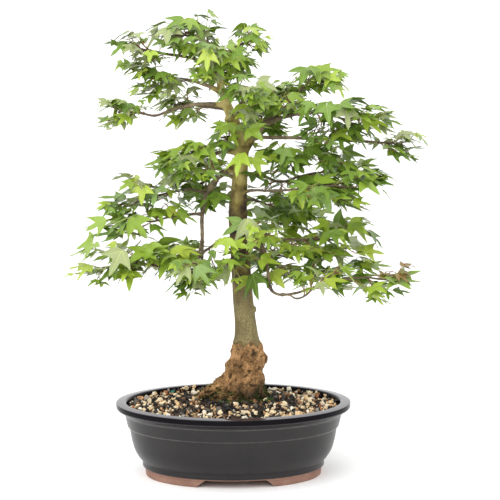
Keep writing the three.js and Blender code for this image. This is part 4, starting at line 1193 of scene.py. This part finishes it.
def addLeaf(pile, node, along, turn, space, tint, random):
    centre, half = space
    size = lerp(*leaf["lengths"], smoothStep(node.z, *leaf["heights"]))
    size *= 1 + leaf["spread"] * random.uniform(-1, 1)
    age, drooping, rising, reaching, rolling, shape, bending, flaring, twisting, wavering, leaning = [
        random.random() for _ in range(11)
    ]
    if age < leaf["young"] or tint == "bronze":
        size *= leaf["youngSize"]
    outward = Vector([a / h for a, h in zip(node - centre, half)])
    middleX, middleY = leaf["middle"]
    outer = smoothStep(math.hypot(node.x - middleX, node.y - middleY), *leaf["outer"])
    lean = lerp(*leaf["lean"], leaning) * lerp(1, leaf["outerLean"], outer)
    waver = heading(360 * wavering) * leaf["waver"]
    face = (up + leaf["sunward"] * lean + waver).normalized()
    droop = lerp(*leaf["droop"], outer)
    if bending * flaring < leaf["hanging"] ** 2:
        droop += leaf["hangingDroop"]
    droop = math.radians(droop + leaf["droopSpread"] * (2 * drooping - 1))
    for extra, share in leaf["tries"]:  # until one keeps to the space, clear of wood and other leaves
        length = size * share
        way = along.copy()
        way.rotate(Quaternion(up, math.radians(turn + extra)))
        stalk = (way + up * lerp(*leaf["stalkRise"], rising)).normalized()
        stalkEnd = node + stalk * length * lerp(*leaf["stalk"], reaching)
        aim = way * (1 - leaf["follow"] / 2) + outward * leaf["follow"]
        aim.z = 0
        aim = (aim - face * face.dot(aim)).normalized() * math.cos(droop) - face * math.sin(droop)
        middle, tip = stalkEnd + aim * length * leaf["bladeMiddle"], stalkEnd + aim * length
        fits = depthIn(space, tip) < growth["limit"] and clearOfWood(middle, leaf["woodGap"])
        if fits and clearOfWood(tip, leaf["woodGap"]) and hasRoom(middle, length):
            break
    else:
        return False
    facing = (face - aim * face.dot(aim)).normalized()
    facing.rotate(Quaternion(aim, math.radians(leaf["roll"]) * (2 * rolling - 1)))
    flat, triangles, isVein, away = leafShapes[int(shape * len(leafShapes))]
    x, y = flat[:, 0], flat[:, 1]
    z = leaf["fold"] * away - lerp(*leaf["bend"], bending) * y * y - lerp(*leaf["flare"], flaring) * x * x
    alongWave, acrossWave, phase = leaf["rippleWaves"]
    ripple = np.sin(alongWave * y + acrossWave * x + phase * drooping)
    z += leaf["twist"] * (2 * twisting - 1) * x * y + leaf["ripple"] * ripple
    z -= z[np.argmin(np.hypot(x, y))]
    axes = np.array([aim.cross(facing), aim, facing])
    corners = np.array(stalkEnd) + length * (np.stack([x, y, z], 1) @ axes)
    veinTint = "darkVein" if tint in leaf["darker"] else "vein"
    pile.add(corners, triangles, np.where(isVein, leafFinishes.index(veinTint), leafFinishes.index(tint)))
    share, rise = leaf["stalkArch"]
    stalkMiddle = node.lerp(stalkEnd, share) + up * length * rise
    stalkLine = [node, stalkMiddle, stalkEnd, stalkEnd + aim * length * leaf["stalkInto"]]
    radii = [leaf["stalkRadius"] * girth for girth in leaf["stalkGirths"]]
    stalkTint = "redStalk" if rising < leaf["redStalks"] else "stalk"
    pile.add(*tube(stalkLine, radii, leaf["stalkSides"]), leafFinishes.index(stalkTint))
    return True


twigTints = {"old": "#5a4b38", "bark": "#7a6850", "young": "#8a9448", "node": "#84523a", "bud": "#96472e"}
twigFinishes = list(twigTints)


def bandedFinish(shades, sides):  # the finish of each triangle of a tube, row by row, then its two ends
    return np.concatenate([np.repeat(shades, 2 * sides), [shades[0]] * sides, [shades[-1]] * sides])


def addTwig(pile, places, first, last, sides, shades, random):
    steps = len(places) - 1
    radii = [lerp(first, last, (i / steps) ** growth["taper"]) for i in range(steps + 1)]
    radii = [radius * (1 + growth["uneven"] * random.uniform(-1, 1)) for radius in radii]
    names = [shades[min(int((i + 0.5) / steps * len(shades)), len(shades) - 1)] for i in range(steps)]
    pile.add(*tube(places, radii, sides), bandedFinish([twigFinishes.index(n) for n in names], sides))


def addBud(pile, node, way):
    size = growth["budSize"]
    places = [node + way * size * reach for reach, _ in growth["bud"]]
    radii = [size * girth for _, girth in growth["bud"]]
    pile.add(*tube(places, radii, growth["budSides"]), twigFinishes.index("bud"))


def growSpray(wood, blades, start, along, girth, end, space, random):  # a twig, its side shoots and leaves
    way = end - start
    middle = start.lerp(end, 0.5) + (along * way.length - way) * growth["carry"]
    steps = max(4, round(way.length / growth["step"]))
    crook = (growth["crook"], growth["crookWave"], growth["crookSeed"])
    places = crooked(bezier(start, middle, end), steps, *crook)
    line = polyline(places)
    shades = ["bark", "bark", "node", "young"]
    addTwig(wood, places, girth, growth["twigTip"], growth["sides"], shades, random)
    tint = sprayTint(end, random)
    otherTint = sprayTint(end, random)

    def shade():
        return tint if random.random() < growth["mainTint"] else otherTint

    count = max(1, round(way.length * (1 - growth["firstNode"]) / growth["nodeStep"]))
    for i in range(count + 1):
        share = lerp(growth["firstNode"], 1, i / count)
        node, ahead = line(share), tangent(line, min(share, growth["nearTip"]))
        flip = 1 if (i + int(end.x)) % 2 else -1
        turns = [random.uniform(*leaf["turn"]) * side for side in (1, -1)]
        if share < 1 and random.random() < growth["shootShare"]:
            turn = flip * random.uniform(*growth["shootTurn"])
            shootWay = ahead.copy()
            shootWay.rotate(Quaternion(up, math.radians(turn)))
            length = random.uniform(*growth["shootLength"])
            shootWay = (shootWay + up * random.uniform(*growth["shootRise"])).normalized()
            shootEnd = node + shootWay * length
            if depthIn(space, shootEnd) < 1 and clearOfWood(shootEnd, growth["shootGap"]):
                bend = node.lerp(shootEnd, 0.5) + ahead * length * growth["shootBend"]
                steps = max(2, round(length / growth["shootStep"]))
                shoot = alongCurve(bezier(node, bend, shootEnd), steps)
                shades = ["node", "young", "young"]
                addTwig(wood, shoot, *growth["shootGirth"], growth["shootSides"], shades, random)
                shootAhead = (shootEnd - bend).normalized()
                for shootTurn in (-random.uniform(*leaf["turn"]), random.uniform(*leaf["turn"]), 0):
                    addLeaf(blades, shootEnd, shootAhead, shootTurn, space, shade(), random)
                turns = [t for t in turns if t * flip < 0]
        for turn in turns:
            if addLeaf(blades, node, ahead, turn, space, shade(), random):
                budWay = (ahead + up * growth["budLean"]).normalized()
                addBud(wood, node + up * growth["twigTip"], budWay)
    endTurn = random.uniform(-growth["endTurn"], growth["endTurn"])
    addLeaf(blades, end, tangent(line, growth["nearTip"]), endTurn, space, shade(), random)
    return line


def growMass(name, index, spaces, wood, blades):
    on, at, turn, *_, count = masses[name]
    space = spaces[name]
    centre = space[0]
    draw = seededDraws(growth["seed"] + index)
    random = Random(growth["leafSeed"] + index)
    root, along, atTip = rootOf(on, at)
    end = centre + (centre - root) * growth["overrun"]
    length = (end - root).length
    out = along if atTip else heading(turn)
    stem = bezier(root, root + out * length / 3, root.lerp(end, 2 / 3) + up * length * growth["lift"], end)
    places = crooked(stem, round(length / growth["stemStep"]), growth["crook"], growth["stemWave"], index)
    line = polyline(places)
    first, tip = girths[on][1], growth["stemTip"]
    stemTube = tube(places, knottyRadii(places, first, tip, index), growth["stemSides"])
    wood.add(*stemTube, twigFinishes.index("old"))
    forks = []
    for i in range(growth["forks"]):
        share = (i + 1) / growth["forks"]
        place = line(share)
        way = tangent(line, min(share, growth["nearTip"]))
        forks.append((place, way, lerp(first, tip, share), (place - root).length))
    more = lerp(*growth["more"], smoothStep(centre.z, *leaf["heights"]))
    ends = twigEnds(space, round(count * more * fullness.get(name, 1)), draw())
    for end in sorted(ends, key=lambda place: (place - root).length):
        least = depthIn(space, end) * growth["nearer"]
        if any(depthIn(other, end) < least for other in spaces.values()):
            continue

        def cost(fork):
            way = end - fork[0]
            bent = 1 - way.normalized() @ fork[1]
            return way.length + growth["pathCost"] * fork[3] + growth["turnCost"] * bent

        fork = min(forks, key=cost)
        forks.remove(fork)
        place, ahead, girth, path = fork
        girth = min(girth * growth["twigShare"], growth["twigGirth"])
        twig = growSpray(wood, blades, place, ahead, girth, end, space, random)
        share = growth["twigFork"]
        start = twig(share)
        forks.append((start, tangent(twig, share), girth * (1 - share), path + (start - place).length))


def growShoot(height, turn, reach, rise, wood, blades):
    share = trunkShare(height)
    out = heading(turn)
    start = curves["trunk"](share) + out * stations(share).w * growth["shootFoot"]
    end = start + out * reach + up * rise
    space = (start.lerp(end, growth["shootMiddle"]), Vector(growth["shootSpace"]))
    growSpray(wood, blades, start, out, growth["shootGirth"][0], end, space, Random(height))


# Leaves come in three pieces: the height over which each begins.
levels = {"upper": 455, "middle": 330, "lower": 0}


def levelOf(height):  # which of the three holds what grows there
    return next(level for level, low in levels.items() if height > low)


def makeFoliage():
    spaces = {name: spaceOf(*mass) for name, mass in masses.items()}
    wood = Pile()
    piles = {level: Pile() for level in levels}
    nodes = {level: [] for level in piles}
    for index, name in enumerate(masses):
        level = levelOf(spaces[name][0].z)
        nodes[level].append("leaves_" + name)
        growMass(name, index, spaces, wood, piles[level])
    for height, *shoot in trunkShoots:
        growShoot(height, *shoot, wood, piles[levelOf(height)])
    finishes = plainFinishes("leaf", leaf["tints"].items(), {"Roughness": 0.38, "IOR": 1.45})
    for level, pile in piles.items():
        piece = pile.make("leaves_" + level, finishes)
        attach(piece, "root")
        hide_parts(*nodes[level])
        print("leaves", level, len(piece.data.polygons), "faces")
    piece = wood.make("twigs", plainFinishes("twig", twigTints.items(), {"Roughness": 0.7, "IOR": 1.45}))
    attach(piece, "root")
    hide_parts(*["leaves_" + name for name in masses])
    print("twigs:", len(piece.data.polygons), "faces")
    print("leaves in all:", sum(len(spots) for spots in takenSpots.values()))


makeFoliage()


# Studio: pale floor, white surroundings that are dimmer in front, and a large soft lamp from upper left.
studio = {
    "floorReach": 9, "floor": "#ffffff", "surround": 1.36, "dim": 0.75, "lamp": 50, "lampSize": 2.6,
    "lampPlace": (-0.8, -1.6, 1.9), "lampAim": 0.3,
    # camera: turn round the pot, distance, height, height it aims at, place beside the pot, sensor in mm,
    # and focal length in pixels of a frame of that many
    "turn": -2.5, "distance": 2100, "height": 541, "aim": 293, "aside": 21.5, "sensor": 36, "focal": 1644,
    "frame": 500,
}


def makeStudio():
    reach = studio["floorReach"]
    corners = np.array([(-reach, -reach, 0), (reach, -reach, 0), (reach, reach, 0), (-reach, reach, 0)])
    matt = {"Base Color": studio["floor"], "Roughness": 1, "Specular IOR Level": 0}
    finish = newMaterial("pale floor", matt)[0]
    floor = meshObject("floor", corners / millimetre, np.array([(0, 1, 2), (0, 2, 3)]), [finish], 0, False)
    world = bpy.data.worlds.new("white room")
    world.use_nodes = True
    tree = world.node_tree
    way = addNode(tree, "TexCoord", "Generated")
    depth = addNode(tree, "SeparateXYZ", "Y", links={"Vector": way})
    settings = {"From Min": -1, "From Max": 0, "To Min": studio["dim"], "To Max": studio["surround"]}
    strength = addNode(tree, "MapRange", "Result", settings, {"Value": depth})
    tree.nodes["Background"].inputs["Color"].default_value = (1, 1, 1, 1)
    tree.links.new(strength, tree.nodes["Background"].inputs["Strength"])
    scene = bpy.context.scene
    scene.world = world
    lamp = bpy.data.lights.new("soft lamp", "AREA")
    lamp.energy, lamp.size = studio["lamp"], studio["lampSize"]
    lampObject = bpy.data.objects.new("soft lamp", lamp)
    lampObject.location = potMiddle + Vector(studio["lampPlace"])
    lampWay = potMiddle + up * studio["lampAim"] - lampObject.location
    lampObject.rotation_euler = lampWay.to_track_quat("-Z", "Y").to_euler()
    scene.collection.objects.link(lampObject)
    camera = bpy.data.objects.new("camera", bpy.data.cameras.new("camera"))
    right = heading(studio["turn"])
    ahead = Vector((-right.y, right.x, 0))
    aside = right * studio["aside"]
    place = aside - ahead * studio["distance"] + up * studio["height"]
    aim = aside + up * studio["aim"]
    camera.location = potMiddle + place * millimetre
    camera.rotation_euler = (aim - place).to_track_quat("-Z", "Y").to_euler()
    camera.data.sensor_width = studio["sensor"]
    camera.data.lens = studio["focal"] / studio["frame"] * studio["sensor"]
    scene.collection.objects.link(camera)
    scene.camera = camera
    scene.view_settings.view_transform = "Standard"
    print("studio: floor, room, lamp and camera")


makeStudio()
